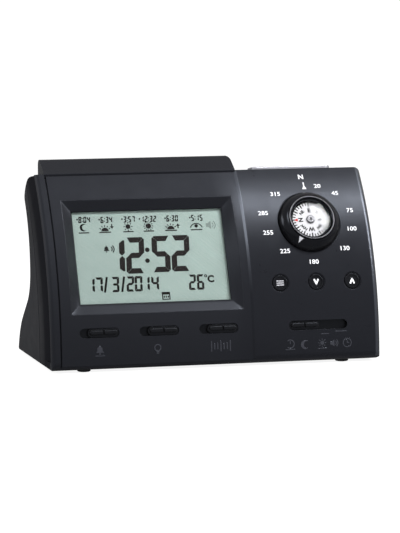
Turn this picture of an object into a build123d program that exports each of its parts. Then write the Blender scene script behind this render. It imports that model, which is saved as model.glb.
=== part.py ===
from build123d import *
from math import cos, degrees, radians, sin
import os

# Desk clock with a display, a rotating compass, push buttons and slide switches.
# Millimetres. +Z is up, the front faces -Y, and X runs across the width.
# The origin is at the centre of the bounding box in plan, at the level the feet stand on.

# ---- overall ----
WIDTH = 179.6
DEPTH = 83.3            # of the outline, before its edges are rounded
CENTRE = 41.54          # the origin lies this far behind the front edge
FOOT_HEIGHT = 1.4
WALL = 2.2
GAP = 0.3               # running gap between a moving piece and the case

# ---- side outline: (distance behind the front edge, height above the base) ----
PANEL_RADIUS = 150.0    # the front panel is one arc, upright at the base
PANEL_LEAN = 0.271      # its lean at the base, in degrees
PANEL_LENGTH = 108.9    # its length along the arc
TOP_REAR = (51.5, 97.3)
WAIST = (52.2, 45.6)    # narrowest place of the back, where it stands upright
HEAD_RADIUS = 62.0
HEAD_SWEEP = 39.0
HEAD_ROUNDING = 3.5
HOLLOW_RADIUS = 21.0
HOLLOW_SWEEP = 51.0
HEEL_TOP = 19.8         # height where the back starts to round into the base
TOE_ROUNDING = 4.5      # of the base's front edge
HEEL_ROUNDING = 1.4     # of the base's rear edge
LEFT_ROUNDING = 2.2     # of the panel's left edge
RIGHT_ROUNDING = 3.25   # of the panel's right edge
END_CORNERS = ((-1, -1, 1.4), (1, -1, 3.0), (1, 1, 3.75))   # side, up or down, radius

# ---- seams and relief of the case ----
PARTING = 28.5          # the rear case starts this far behind the panel
PARTING_GAP = 0.2
TONGUE = 1.5            # lip of the rear case that enters the front case
SEAM_EDGE = 0.3         # the groove over the seam reaches this far to each side
SEAM_DEPTH = 0.4
VALLEY_FRONT = 2.4      # the hollow along the left side lies between these depths
VALLEY_BACK = 17.0
VALLEY_DEPTH = 2.6
VALLEY_WALL = 2.7       # thickness of the case behind it
VALLEY_START = 4.5      # its lower end, along the panel
VALLEY_SLOPE = 3.0      # its slope at the back, in degrees
STRIP = 4.7             # width of the raised strip at the panel's left edge
GROOVE_WIDTH = 0.9
GROOVE_DEPTH = 1.4
CREASE = 109.6          # where the display side rises to the compass side
CREASE_WIDTH = 1.2
PANEL_DROP = 0.5        # the display side lies this much lower
PAST = 12.0             # cuts along the panel's arc run this far past its ends

# ---- display ----
DISPLAY_X = 57.9        # centre, measured from the left side
BEZEL_WIDTH = 93.5
BEZEL_LOW = 29.1        # along the panel
BEZEL_HIGH = 92.8
BEZEL_LENGTH = 63.2     # its height at the back, on the display plane
DISPLAY_LEAN = 24.0
DISPLAY_AT = (18.4, 56.8)   # centre of the visible window, in the side outline
WINDOW = (81.2, 50.4)
LENS_THICK = 1.2
GLASS_THICK = 2.2
GUIDE_THICK = 3.0
FRAME_THICK = 6.2
BOARD_THICK = 1.6
POST_XS = (-49.0, 49.0)     # fixing points of the main board, from the display's centre
POST_YS = (-26.0, 14.0)

# ---- compass ----
COMPASS_AT = (145.0, 75.8)  # from the left side, and along the panel
COMPASS_TURN = 213.0        # heading of the ring's pointer, clockwise from the top
RING_BASE_RADIUS = 16.9
RING_RIM_RADIUS = 12.4
RING_HEIGHT = 5.8
RING_BORE = 11.2
SEAT_RADIUS = 17.4
SEAT_DEPTH = 1.2
CUP_RADIUS = 10.9
CUP_DEPTH = 7.5
CARD_RADIUS = 9.8
CARD_THICK = 0.5
COMPASS_LENS_THICK = 1.3
CARD_LEVEL = 2.6            # top of the card above the seat

# ---- push buttons ----
BUTTON_XS = (125.2, 145.2, 165.2)
BUTTON_S = 42.4
BUTTON_NAMES = ("button_set", "button_down", "button_up")
BUTTON_WELL = 5.0
BUTTON_RADIUS = 4.15
BUTTON_TRAVEL = 0.9

# ---- slide switches ----
SWITCH_S = 19.5
SWITCH_XS = (25.8, 58.0, 90.2)
SWITCH_SLOT = 21.2
SLOT_HEIGHT = 5.0
KNOB_LENGTH = 16.4
SWITCH_TRAVEL = SWITCH_SLOT - KNOB_LENGTH - 2 * GAP
FUNCTION_X = 144.8
FUNCTION_SLOT = 32.2
FUNCTION_TRAVEL = FUNCTION_SLOT - KNOB_LENGTH - 2 * GAP
CARRIER_COVER = 0.3         # how far a knob's plate reaches past the slot
SWITCH_POST_XS = (42.0, 74.1, 114.0)
SWITCH_POST_DROP = -7.6

# ---- snooze bar ----
BAR_LEFT = 4.9
BAR_RIGHT = 109.3
BAR_FRONT = (38.3, 99.5)
BAR_SHOULDER = (49.0, 105.7)
BAR_BACK = (53.9, 103.0)
BAR_FOOT = 95.2
BAR_TIP = 0.6               # rounding of its front edge
BAR_CORNER = 2.2            # rounding of its upper right corner
BAR_ROOM = ((40.3, 98.4), (49.3, 103.4), (51.8, 102.0))     # ceiling of its hollow
BAR_ENDS = (2.0, 4.0)       # thickness of its left and right ends
WELL_FLOOR = 93.6
BAR_TRAVEL = 1.2
SPRING_XS = (26.0, 91.0)
SNOOZE_X = 58.0             # of the switch under the bar
SPRING_Y = 46.0
SPRING_RADIUS = 2.6
SPRING_SEAT = 99.0
SEAT_TOP = 101.6            # the seats of springs and switch reach up to here

# ---- speaker ----
GRILLE_X = 141.2
GRILLE_SIZE = (44.0, 11.6)
GRILLE_RISE = 1.5
GRILLE_SLOTS = 9

# ---- battery compartment ----
CELL_RADIUS = 7.15
CELL_LENGTH = 50.3
CELL_YS = (46.0, 61.0)
CELL_Z = 10.2
NUB_RADIUS = 2.7
NUB_LENGTH = 1.2
BAY_X = 54.6                # half its length
BAY_Y = (38.2, 68.8)
BAY_TOP = 18.0
BAY_WALL = 1.4
DOOR_X = 56.5               # half its length
DOOR_Y = (35.6, 71.4)
DOOR_THICK = 1.8
DOOR_TRAVEL = 5.0
DOOR_SINK = 0.2             # the door lies this far above the base plane
PAD_THICK = 4.0             # thickness of the base around the door
RAIL = 1.2

# ---- fasteners and feet ----
SCREW_XS = (-81.8, 81.8)
SCREW_ZS = (9.0, 78.0)
SCREW_RADIUS = 1.4
SCREW_HEAD_RADIUS = 2.7
SMALL_SCREW_RADIUS = 1.0
FOOT_XS = (-70.9, 70.3)
FOOT_YS = (8.4, 75.0)
FOOT_RADIUS = 3.6


# ---------------------------------------------------------------- helpers

def cross(left):
    """X of a place measured from the clock's left side."""
    return left - WIDTH / 2


def place(x, point):
    """A point of the side outline, at X = x, in the clock's frame."""
    return (x, point[0] - CENTRE, point[1] + FOOT_HEIGHT)


def along_x(face, x0, x1):
    """A face drawn in the side outline's coordinates, extruded across the clock."""
    side = Plane(origin=place(x0, (0, 0)), x_dir=(0, 1, 0), z_dir=(1, 0, 0))
    return side * extrude(face, x1 - x0, dir=(0, 0, 1))


def panel_lean(s):
    """Lean of the panel, in radians, at the length s along its arc."""
    return radians(PANEL_LEAN) + s / PANEL_RADIUS


def panel_point(s, lift=0.0):
    """Point of the panel at the length s, raised from it by lift."""
    start = radians(PANEL_LEAN)
    lean = panel_lean(s)
    y = PANEL_RADIUS * (cos(start) - cos(lean)) - lift * cos(lean)
    z = PANEL_RADIUS * (sin(lean) - sin(start)) + lift * sin(lean)
    return (y, z)


def panel_arc(s0, s1, lift):
    middle = (s0 + s1) / 2
    return ThreePointArc(panel_point(s0, lift), panel_point(middle, lift), panel_point(s1, lift))


def along_panel(face, s0, s1):
    """A face drawn as X against the distance from the panel's centre, swept along its arc."""
    lean = panel_lean(s0)
    start = radians(PANEL_LEAN)
    centre = place(0, (PANEL_RADIUS * cos(start), -PANEL_RADIUS * sin(start)))
    section = Plane(origin=centre, x_dir=(1, 0, 0), z_dir=(0, -sin(lean), -cos(lean)))
    return revolve(section * face, Axis(centre, (-1, 0, 0)), degrees((s1 - s0) / PANEL_RADIUS))


def corner_waste(side, up, radius):
    """What a rounding takes off a corner at (0, 0), with a margin of 1 outside it."""
    middle = (1 - radius) / 2
    square = Pos(side * middle, up * middle) * Rectangle(radius + 1, radius + 1)
    return square - Pos(-side * radius, -up * radius) * Circle(radius)


def along_y(face, x, z, y0, y1):
    """A face drawn in front view about the place (x, z), extruded from y1 forward to y0."""
    back = Plane(origin=place(x, (y1, z)), x_dir=(1, 0, 0), z_dir=(0, -1, 0))
    return back * extrude(face, y1 - y0)


def panel_plane(left, s, lift=0.0):
    """Plane that touches the panel, with its Y axis up the panel and its Z axis out of it."""
    lean = panel_lean(s)
    origin = place(cross(left), panel_point(s, lift))
    return Plane(origin=origin, x_dir=(1, 0, 0), z_dir=(0, -cos(lean), sin(lean)))


def display_plane(lift=0.0):
    lean = radians(DISPLAY_LEAN)
    y = DISPLAY_AT[0] - lift * cos(lean)
    z = DISPLAY_AT[1] + lift * sin(lean)
    origin = place(cross(DISPLAY_X), (y, z))
    return Plane(origin=origin, x_dir=(1, 0, 0), z_dir=(0, -cos(lean), sin(lean)))


def top_plane(left):
    """Plane on the sloping top, right of the bar."""
    front = panel_point(PANEL_LENGTH)
    run = TOP_REAR[0] - front[0]
    drop = front[1] - TOP_REAR[1]
    middle = ((front[0] + TOP_REAR[0]) / 2, (front[1] + TOP_REAR[1]) / 2)
    return Plane(origin=place(cross(left), middle), x_dir=(1, 0, 0), z_dir=(0, drop, run))


def rod(radius, z0, z1):
    return Pos(0, 0, z0) * extrude(Circle(radius), z1 - z0)


def tube(outer, inner, z0, z1):
    return rod(outer, z0, z1) - rod(inner, z0, z1)


def plate(width, height, z0, z1, corner=0.0):
    shape = RectangleRounded(width, height, corner) if corner else Rectangle(width, height)
    return Pos(0, 0, z0) * extrude(shape, z1 - z0)


def box(x0, x1, y0, y1, z0, z1):
    """Box with Y and Z given in the side outline's coordinates."""
    corner = place(x0, (y0, z0))
    size = Box(x1 - x0, y1 - y0, z1 - z0, align=(Align.MIN, Align.MIN, Align.MIN))
    return Pos(*corner) * size


def post(x, y, radius, z0, z1):
    """Upright rod at a place of the side outline's coordinates."""
    return Pos(*place(x, (y, 0))) * rod(radius, z0, z1)


def slot_shape(length, height):
    return RectangleRounded(length, height, min(length, height) / 2 - 0.05)


# ---------------------------------------------------------------- case

def side_outline():
    """The side view: panel, top, crown, head, waist, heel and base."""
    lean = radians(PANEL_LEAN)
    sweep = degrees(PANEL_LENGTH / PANEL_RADIUS)
    panel = JernArc((0, 0), (sin(lean), cos(lean)), PANEL_RADIUS, -sweep)
    top = Line(panel @ 1, TOP_REAR)
    head = JernArc(WAIST, (0, 1), HEAD_RADIUS, -HEAD_SWEEP)
    crown = TangentArc(top @ 1, head @ 1, tangent=top % 1)
    hollow = JernArc(WAIST, (0, -1), HOLLOW_RADIUS, HOLLOW_SWEEP)
    start = hollow @ 1
    fall = start.Y - HEEL_TOP
    run = fall * sin(radians(HOLLOW_SWEEP)) / cos(radians(HOLLOW_SWEEP))
    slope = Line(start, (start.X + run, HEEL_TOP))
    heel = TangentArc(slope @ 1, (DEPTH, 0), tangent=slope % 1)
    base = Line(heel @ 1, (0, 0))
    face = make_face([panel, top, crown, head, hollow, slope, heel, base])
    toe = face.vertices().sort_by_distance((0, 0, 0))[0]
    return fillet(toe, TOE_ROUNDING)


def outer_body(outline):
    """The closed outer form, with its rounded edges and the hollow along its left side."""
    body = along_x(outline, -WIDTH / 2, WIDTH / 2)
    head = [edge for edge in body.edges().filter_by(Axis.X) if is_head(edge)]
    body = fillet(head, HEAD_ROUNDING)
    heel = body.edges().filter_by(Axis.X).group_by(Axis.Z)[0].sort_by(Axis.Y)[-1]
    body = fillet(heel, HEEL_ROUNDING)
    for side, up, radius in END_CORNERS:
        z = panel_point(PANEL_LENGTH)[1] if up > 0 else 0
        body -= along_y(corner_waste(side, up, radius), side * WIDTH / 2, z, -PAST, DEPTH + PAST)
    for side, radius in ((-1, LEFT_ROUNDING), (1, RIGHT_ROUNDING)):
        waste = Pos(side * WIDTH / 2, PANEL_RADIUS) * corner_waste(side, 1, radius)
        body -= along_panel(waste, -PAST, PANEL_LENGTH + PAST)
    return body - side_valley()


def is_head(edge):
    """The sharp edge where the crown meets the head."""
    middle = edge.center()
    return middle.Z > 70 and middle.Y > 15


def side_valley():
    """Hollow behind the left strip, running out into the side."""
    side = -WIDTH / 2
    outside = side - 1.0
    front = PANEL_RADIUS - VALLEY_FRONT
    back = PANEL_RADIUS - VALLEY_BACK
    slope = radians(VALLEY_SLOPE)
    floor = TangentArc((side, back), (side + VALLEY_DEPTH, front), tangent=(sin(slope), cos(slope)))
    edges = [
        floor,
        Line(floor @ 1, (outside, front)),
        Line((outside, front), (outside, back)),
        Line((outside, back), (side, back)),
    ]
    return along_panel(make_face(edges), VALLEY_START, PANEL_LENGTH + PAST)


def valley_liner():
    """Thicker wall behind the hollow of the left side."""
    x0 = -WIDTH / 2 + 1.0
    x1 = -WIDTH / 2 + VALLEY_DEPTH + VALLEY_WALL
    high = PANEL_RADIUS - 1.0
    low = PANEL_RADIUS - VALLEY_BACK - 1.0
    section = Pos((x0 + x1) / 2, (low + high) / 2) * Rectangle(x1 - x0, high - low)
    return along_panel(section, -PAST, PANEL_LENGTH + PAST)


def front_zone(shift):
    """Everything in front of the panel's arc moved back by shift."""
    arc = panel_arc(-PAST, PANEL_LENGTH + 30.0, 0.0).moved(Location((shift, 0, 0)))
    low = arc @ 0
    high = arc @ 1
    far = -30.0
    edges = [
        arc,
        Line(high, (far, high.Y)),
        Line((far, high.Y), (far, low.Y)),
        Line((far, low.Y), low),
    ]
    return make_face(edges)


def inner_cavity(outline):
    inner = offset(outline, amount=-WALL)
    return along_x(inner, -WIDTH / 2 + WALL, WIDTH / 2 - WALL)


def display_opening():
    centre = cross(DISPLAY_X)
    return along_x(bezel_outline(8.0), centre - BEZEL_WIDTH / 2, centre + BEZEL_WIDTH / 2)


def bezel_corners():
    """Lower and upper corners of the bezel's back, on the display plane."""
    corners = []
    lean = radians(DISPLAY_LEAN)
    for s in (BEZEL_LOW, BEZEL_HIGH):
        y, z = panel_point(s, -PANEL_DROP)
        depth = (DISPLAY_AT[0] - y) * cos(lean) - (DISPLAY_AT[1] - z) * sin(lean)
        corners.append((y + depth * cos(lean), z - depth * sin(lean)))
    return corners


def bezel_outline(stand):
    """Side view of the bezel, its front raised from the panel by stand."""
    lower, upper = bezel_corners()
    front = panel_arc(BEZEL_LOW, BEZEL_HIGH, stand - PANEL_DROP)
    low = panel_point(BEZEL_LOW, -PANEL_DROP)
    high = panel_point(BEZEL_HIGH, -PANEL_DROP)
    edges = [front, Line(high, upper), Line(upper, lower), Line(lower, low)]
    if stand:
        edges.append(Line(front @ 1, high))
        edges.append(Line(low, front @ 0))
    return make_face(edges)


def snooze_well(grow, floor):
    """Room under the snooze bar, grown by its walls."""
    x0 = cross(BAR_LEFT) - GAP - grow
    x1 = cross(BAR_RIGHT) + GAP + grow
    y0 = BAR_FRONT[0] - GAP - grow
    y1 = BAR_BACK[0] + GAP + grow
    return box(x0, x1, y0, y1, floor, 112.0)


def screw_line(x, z, radius, y0, y1):
    """Rod along Y for a case screw."""
    ahead = Plane(origin=place(x, (y0, z)), x_dir=(1, 0, 0), z_dir=(0, 1, 0))
    return ahead * rod(radius, 0, y1 - y0)


def parting_y(z):
    """How far back the front case's rim is at a height."""
    start = radians(PANEL_LEAN)
    rise = sin(start) + z / PANEL_RADIUS
    return PARTING + PANEL_RADIUS * (cos(start) - (1 - rise * rise) ** 0.5)


def display_posts(radius, z0, z1):
    """Rods at the main board's four fixing points, beside the bezel."""
    posts = []
    for x in POST_XS:
        for y in POST_YS:
            posts.append(display_plane() * (Pos(x, y, 0) * rod(radius, z0, z1)))
    return posts


def button_posts(radius, z0, z1):
    """Rods at the button board's fixing points, between the buttons."""
    spots = (BUTTON_XS[0] + 10.0, BUTTON_XS[1] + 10.0)
    return [panel_plane(left, BUTTON_S) * rod(radius, z0, z1) for left in spots]


def switch_posts(radius, z0, z1):
    """Rods at the switch board's fixing points, below the slots."""
    drop = Pos(0, SWITCH_POST_DROP, 0)
    return [panel_plane(left, SWITCH_S) * (drop * rod(radius, z0, z1)) for left in SWITCH_POST_XS]


def compass_plane():
    return panel_plane(COMPASS_AT[0], COMPASS_AT[1])


def compass_posts(radius, z0, z1):
    turn = PolarLocations(14.6, 3, start_angle=30)
    return [compass_plane() * (spot * rod(radius, z0, z1)) for spot in turn]


def front_case(body, outline):
    case = (body - inner_cavity(outline)) & along_x(front_zone(PARTING), -WIDTH, WIDTH)
    case += body & (snooze_well(2.0, WELL_FLOOR - 2.0) & along_x(outline, -WIDTH / 2, WIDTH / 2))
    case += front_fittings(body)
    case -= front_openings()
    case -= panel_relief()
    case -= seam_grooves()
    return case


def front_fittings(body):
    """Bosses, posts, seats and guides on the inside of the front case."""
    fittings = [valley_liner()]
    for x in SCREW_XS:
        for z in SCREW_ZS:
            rim = parting_y(z)
            fittings.append(screw_line(x, z, 3.2, rim - PARTING + 1.5, rim))
    fittings += display_posts(1.9, board_level(), 6.5)
    back = -SEAT_DEPTH - 2.0
    fittings.append(compass_plane() * rod(SEAT_RADIUS + 2.0, back, -SEAT_DEPTH - 0.2))
    fittings += compass_posts(1.9, back - 1.5, back + 0.2)
    fittings += button_posts(2.0, -9.5, -1.5)
    fittings += switch_posts(1.8, -10.0, -1.5)
    return [piece & body for piece in fittings]


def front_openings():
    openings = [display_opening(), snooze_well(0.0, WELL_FLOOR)]
    openings.append(compass_plane() * rod(SEAT_RADIUS, -SEAT_DEPTH, 12.0))
    openings.append(compass_plane() * rod(RING_BORE + 1.08, -8.0, 12.0))
    for left in BUTTON_XS:
        well = panel_plane(left, BUTTON_S)
        openings.append(well * rod(BUTTON_RADIUS + GAP, -8.0, 5.0))
        openings.append(well * rod(BUTTON_WELL, -0.45, 5.0))
    for left in SWITCH_XS:
        openings.append(panel_plane(left, SWITCH_S) * slot_cut(SWITCH_SLOT))
    openings.append(panel_plane(FUNCTION_X, SWITCH_S) * slot_cut(FUNCTION_SLOT))
    speaker_hole = plate(GRILLE_SIZE[0] - 5.0, GRILLE_SIZE[1] - 3.6, -5.0, 5.0)
    openings.append(top_plane(GRILLE_X) * speaker_hole)
    for x in SCREW_XS:
        for z in SCREW_ZS:
            rim = parting_y(z)
            openings.append(screw_line(x, z, SCREW_RADIUS + 0.02, rim - 11.0, rim + 1.0))
    pilot = SMALL_SCREW_RADIUS + 0.02
    openings += display_posts(pilot, board_level() - 1.0, board_level() + 4.5)
    openings += button_posts(pilot, -10.0, -5.0)
    openings += switch_posts(pilot, -11.0, -5.5)
    openings += compass_posts(pilot, -SEAT_DEPTH - 5.0, -SEAT_DEPTH - 1.2)
    for x in FOOT_XS:
        openings.append(post(x, FOOT_YS[0], FOOT_RADIUS + 0.05, -3.0, 0.8))
    return openings


def slot_cut(length):
    return Pos(0, 0, -6.0) * extrude(slot_shape(length, SLOT_HEIGHT), 12.0)


def panel_relief():
    """The lowered display side with its sloping right edge, and the groove at its left."""
    low = PANEL_RADIUS - PANEL_DROP
    high = PANEL_RADIUS + 2 * PANEL_DROP
    left = cross(STRIP)
    right = cross(CREASE)
    foot = right - CREASE_WIDTH
    head = right + 2 * CREASE_WIDTH
    lowered = Polygon((left, high), (left, low), (foot, low), (head, high), align=None)
    width = GROOVE_WIDTH
    depth = GROOVE_DEPTH + 1.0
    groove = Pos(left + width / 2, PANEL_RADIUS + 1.0 - depth / 2) * Rectangle(width, depth)
    return [along_panel(face, -PAST, PANEL_LENGTH + PAST) for face in (lowered, groove)]


def seam_grooves():
    """Shallow groove over the seam on both sides of the case."""
    zone = front_zone(PARTING + PARTING_GAP + SEAM_EDGE) - front_zone(PARTING - SEAM_EDGE)
    inner = WIDTH / 2 - SEAM_DEPTH
    outer = WIDTH / 2 + 1.0
    return [along_x(zone, -outer, -inner), along_x(zone, inner, outer)]


def rear_case(body, outline):
    rear_side = along_x(front_zone(PARTING + PARTING_GAP), -WIDTH, WIDTH)
    cavity = inner_cavity(outline)
    case = (body - cavity) - rear_side
    case += rear_lip(outline)
    case += rear_fittings(body)
    case -= rear_openings()
    case -= snooze_well(2.2, WELL_FLOOR - 2.2)
    case -= seam_grooves()
    return case


def lip_ring(outline, outer_inset, inner_inset):
    """Thin wall that follows the outline between two insets."""
    layers = []
    for inset in (outer_inset, inner_inset):
        reach = WIDTH / 2 - inset
        layers.append(along_x(offset(outline, amount=-inset), -reach, reach))
    return layers[0] - layers[1]


def rear_lip(outline):
    """Lip that enters the front case and keeps the seam shut."""
    ahead = along_x(front_zone(PARTING - TONGUE), -WIDTH, WIDTH)
    seam = along_x(front_zone(PARTING + PARTING_GAP), -WIDTH, WIDTH)
    root_end = along_x(front_zone(PARTING + 2.0), -WIDTH, WIDTH)
    lip = lip_ring(outline, WALL + 0.15, WALL + 1.15)
    lip = (lip & root_end) - ahead
    root = (lip_ring(outline, WALL - 0.3, WALL + 1.15) & root_end) - seam
    high = box(-WIDTH, WIDTH, -20.0, 100.0, 82.0, 120.0)
    return (lip + root) - high


def rear_fittings(body):
    fittings = []
    for x in SCREW_XS:
        for z in SCREW_ZS:
            rim = parting_y(z) + PARTING_GAP
            fittings.append(screw_line(x, z, 4.2, rim, DEPTH))
    side = BAY_X + BAY_WALL
    front, back = BAY_Y[0] - BAY_WALL, BAY_Y[1] + BAY_WALL
    fittings.append(box(-side, side, front, back, 0.5, BAY_TOP + BAY_WALL))
    side = DOOR_X + 4.0
    front, back = DOOR_Y[0] - 2.5, DOOR_Y[1] + DOOR_TRAVEL + 2.5
    fittings.append(box(-side, side, front, back, 0.0, PAD_THICK))
    return [piece & body for piece in fittings]


def rear_openings():
    openings = []
    for x in SCREW_XS:
        for z in SCREW_ZS:
            rim = parting_y(z)
            openings.append(screw_line(x, z, SCREW_RADIUS + 0.25, rim - 2.0, DEPTH + 5))
            openings.append(screw_line(x, z, SCREW_HEAD_RADIUS + 0.3, rim + 4.0, DEPTH + 5))
    openings.append(box(-BAY_X, BAY_X, BAY_Y[0], BAY_Y[1], -3.0, BAY_TOP))
    reach = DOOR_Y[1] + DOOR_TRAVEL + 2 * GAP
    top = DOOR_SINK + DOOR_THICK + 0.1
    openings.append(box(-DOOR_X - GAP, DOOR_X + GAP, DOOR_Y[0] - GAP, reach, -3.0, top))
    side = DOOR_X + RAIL + GAP
    openings.append(box(-side, side, DOOR_Y[0] - GAP, reach, 0.9, top))
    for x in FOOT_XS:
        openings.append(post(x, FOOT_YS[1], FOOT_RADIUS + 0.05, -3.0, 0.8))
    return openings


# ---------------------------------------------------------------- display

def pocket_side(s_inset):
    """Mouth, window and bevels of the display pocket in side view."""
    high = panel_point(BEZEL_HIGH, 7.0)
    low = panel_point(BEZEL_LOW, 7.0)
    top = panel_point(BEZEL_HIGH, -PANEL_DROP)
    bottom = panel_point(BEZEL_LOW, -PANEL_DROP)
    if s_inset:
        upper = panel_point(BEZEL_HIGH - s_inset, -PANEL_DROP)
        lower = panel_point(BEZEL_LOW + s_inset, -PANEL_DROP)
        back = panel_arc(BEZEL_HIGH - s_inset, BEZEL_LOW + s_inset, -PANEL_DROP)
    else:
        lean = radians(DISPLAY_LEAN)
        reach = WINDOW[1] / 2
        upper = (DISPLAY_AT[0] + reach * sin(lean), DISPLAY_AT[1] + reach * cos(lean))
        lower = (DISPLAY_AT[0] - reach * sin(lean), DISPLAY_AT[1] - reach * cos(lean))
        back = Line(upper, lower)
    mouth = [Line(bottom, low), Line(low, high), Line(high, top)]
    return Wire(mouth + [Line(top, upper), back, Line(lower, bottom)])


def display_pocket():
    """The sunk pocket whose four bevels lead down to the window."""
    centre = cross(DISPLAY_X)
    window = centre - WINDOW[0] / 2
    rim = centre - BEZEL_WIDTH / 2
    side = Plane(origin=place(0, (0, 0)), x_dir=(0, 1, 0), z_dir=(1, 0, 0))
    pocket = along_x(make_face(pocket_side(0)), window, centre + WINDOW[0] / 2)
    for start, end in ((window, rim), (centre + WINDOW[0] / 2, centre + BEZEL_WIDTH / 2)):
        inner = side * (Pos(0, 0, start) * pocket_side(0))
        outer = side * (Pos(0, 0, end) * pocket_side(0.5))
        pocket += Solid.make_loft([inner, outer], ruled=True)
    return pocket


def lcd_bezel():
    half = BEZEL_WIDTH / 2
    block = along_x(bezel_outline(0), cross(DISPLAY_X) - half, cross(DISPLAY_X) + half)
    return block - display_pocket()


def lcd_lens():
    return display_plane() * plate(BEZEL_WIDTH - 0.4, BEZEL_LENGTH - 1.0, -LENS_THICK, 0.0)


def lcd_glass():
    """The liquid crystal cell behind the window."""
    top = -LENS_THICK
    return display_plane() * plate(WINDOW[0] + 5.0, WINDOW[1] + 5.0, top - GLASS_THICK, top)


def light_guide():
    top = -LENS_THICK - GLASS_THICK
    return display_plane() * plate(WINDOW[0] + 5.0, WINDOW[1] + 1.0, top - GUIDE_THICK, top)


def backlight_leds():
    """Two side-firing lamps at the light guide's right end."""
    top = -LENS_THICK - GLASS_THICK - 0.6
    x = (WINDOW[0] + 5.0) / 2 + 0.8
    lamp = plate(1.2, 3.4, top - 1.8, top)
    return [display_plane() * (Pos(x, y, 0) * lamp) for y in (-12.0, 12.0)]


def display_frame():
    """Frame that holds the glass and the light guide against the window."""
    top = -LENS_THICK
    frame = plate(BEZEL_WIDTH - 0.4, BEZEL_LENGTH - 1.0, top - FRAME_THICK, top)
    frame -= plate(WINDOW[0] + 8.4, WINDOW[1] + 5.2, top - FRAME_THICK, top)
    return display_plane() * frame


def contact_strips():
    """Elastomer strips that join the glass to the board, above and below the light guide."""
    top = -LENS_THICK - GLASS_THICK
    y = (WINDOW[1] + 5.0) / 2 - 0.9
    strip = plate(WINDOW[0] - 4.0, 1.5, top - FRAME_THICK + GLASS_THICK, top)
    return [display_plane() * (Pos(0, side * y, 0) * strip) for side in (-1, 1)]


def board_level():
    return -LENS_THICK - FRAME_THICK


def main_board():
    """Circuit board behind the display, notched round the left case boss."""
    top = board_level()
    board = display_plane() * plate(102.0, 60.0, top - BOARD_THICK, top, 1.0)
    for hole in display_posts(SMALL_SCREW_RADIUS + 0.2, top - 3.0, top + 1.0):
        board -= hole
    return board - screw_line(SCREW_XS[0], SCREW_ZS[1], 3.7, 0.0, DEPTH)


def board_chips():
    """Clock chip, sound chip, memory, crystal and capacitors on the main board."""
    back = board_level() - BOARD_THICK
    chips = []
    for x, y, width, height, thick in (
        (-22.0, 6.0, 14.0, 14.0, 1.6),
        (10.0, 10.0, 10.0, 7.0, 1.5),
        (12.0, -10.0, 8.0, 6.0, 1.5),
        (-20.0, -14.0, 9.0, 3.4, 3.2),
        (34.0, -4.0, 5.0, 5.0, 2.2),
    ):
        chips.append(display_plane() * (Pos(x, y, 0) * plate(width, height, back - thick, back)))
    for x in (30.0, 38.0):
        chips.append(display_plane() * (Pos(x, 14.0, 0) * rod(2.6, back - 7.0, back)))
    return chips


def temperature_sensor():
    """Bead on two leads at the main board's lower left."""
    back = board_level() - BOARD_THICK
    bead = Pos(-40.0, -22.0, back - 4.0) * Sphere(1.3)
    for x in (-41.0, -39.4):
        bead += Pos(x + 0.2, -22.0, 0) * rod(0.25, back - 4.0, back)
    return display_plane() * bead


# ---------------------------------------------------------------- compass

def compass_ring():
    """Turning ring: a domed skirt, a knurled rim and a clip that holds it in the case."""
    low = -SEAT_DEPTH + 0.2
    shoulder = RING_RIM_RADIUS + 0.4
    skirt = ThreePointArc((RING_BASE_RADIUS, low + 1.0), (15.2, 3.3), (shoulder, RING_HEIGHT - 0.9))
    profile = [
        Line((RING_BORE, low), (RING_BASE_RADIUS, low)),
        Line((RING_BASE_RADIUS, low), skirt @ 0),
        skirt,
        Line(skirt @ 1, (RING_RIM_RADIUS, RING_HEIGHT)),
        Line((RING_RIM_RADIUS, RING_HEIGHT), (RING_BORE + 0.5, RING_HEIGHT)),
        Line((RING_BORE + 0.5, RING_HEIGHT), (RING_BORE, RING_HEIGHT - 0.6)),
        Line((RING_BORE, RING_HEIGHT - 0.6), (RING_BORE, low)),
    ]
    ring = revolve(Plane.XZ * make_face(profile), Axis.Z)
    seat_back = -SEAT_DEPTH - 2.0
    ring += tube(RING_BORE + 1.0, RING_BORE, seat_back - 1.0, low)
    ring += tube(RING_BORE + 1.5, RING_BORE, seat_back - 1.0, seat_back - 0.2)
    for spot in PolarLocations(RING_RIM_RADIUS + 0.15, 48):
        ring -= spot * rod(0.3, RING_HEIGHT - 0.9, RING_HEIGHT + 1.0)
    return compass_plane() * (Rot(0, 0, -COMPASS_TURN) * ring)


def compass_cup():
    """Fixed cup that carries the card's pivot and the lens."""
    back = -SEAT_DEPTH - 3.5
    cup = rod(CUP_RADIUS, back - 1.5, RING_HEIGHT - 1.2)
    cup += rod(16.6, back - 1.5, back)
    cup -= rod(CARD_RADIUS + 0.4, back - 0.3, RING_HEIGHT)
    cup -= rod(CARD_RADIUS + 0.7, RING_HEIGHT - 2.2, RING_HEIGHT)
    for spot in PolarLocations(14.6, 3, start_angle=30):
        cup -= spot * rod(1.1, back - 3, back + 1)
    return compass_plane() * cup


def compass_lens():
    """Clear flat window over the card, with a small bevel round its edge."""
    low = RING_HEIGHT - 2.2
    lens = rod(CARD_RADIUS + 0.65, low, low + COMPASS_LENS_THICK)
    rim = lens.edges().group_by(Axis.Z)[-1]
    return compass_plane() * chamfer(rim, 0.25)


def compass_card():
    """Card with its cap, which turns on the pivot."""
    card = rod(CARD_RADIUS, CARD_LEVEL - CARD_THICK, CARD_LEVEL)
    card += rod(2.3, CARD_LEVEL, CARD_LEVEL + 0.55)
    card += rod(1.5, CARD_LEVEL - 2.6, CARD_LEVEL)
    card -= rod(0.57, CARD_LEVEL - 4.0, CARD_LEVEL + 0.2)
    return compass_plane() * card


def compass_magnet():
    """Bar magnet under the card."""
    bar = plate(14.0, 3.6, CARD_LEVEL - 2.0, CARD_LEVEL - CARD_THICK)
    bar -= rod(1.5, CARD_LEVEL - 3.0, CARD_LEVEL)
    return compass_plane() * bar


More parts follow.
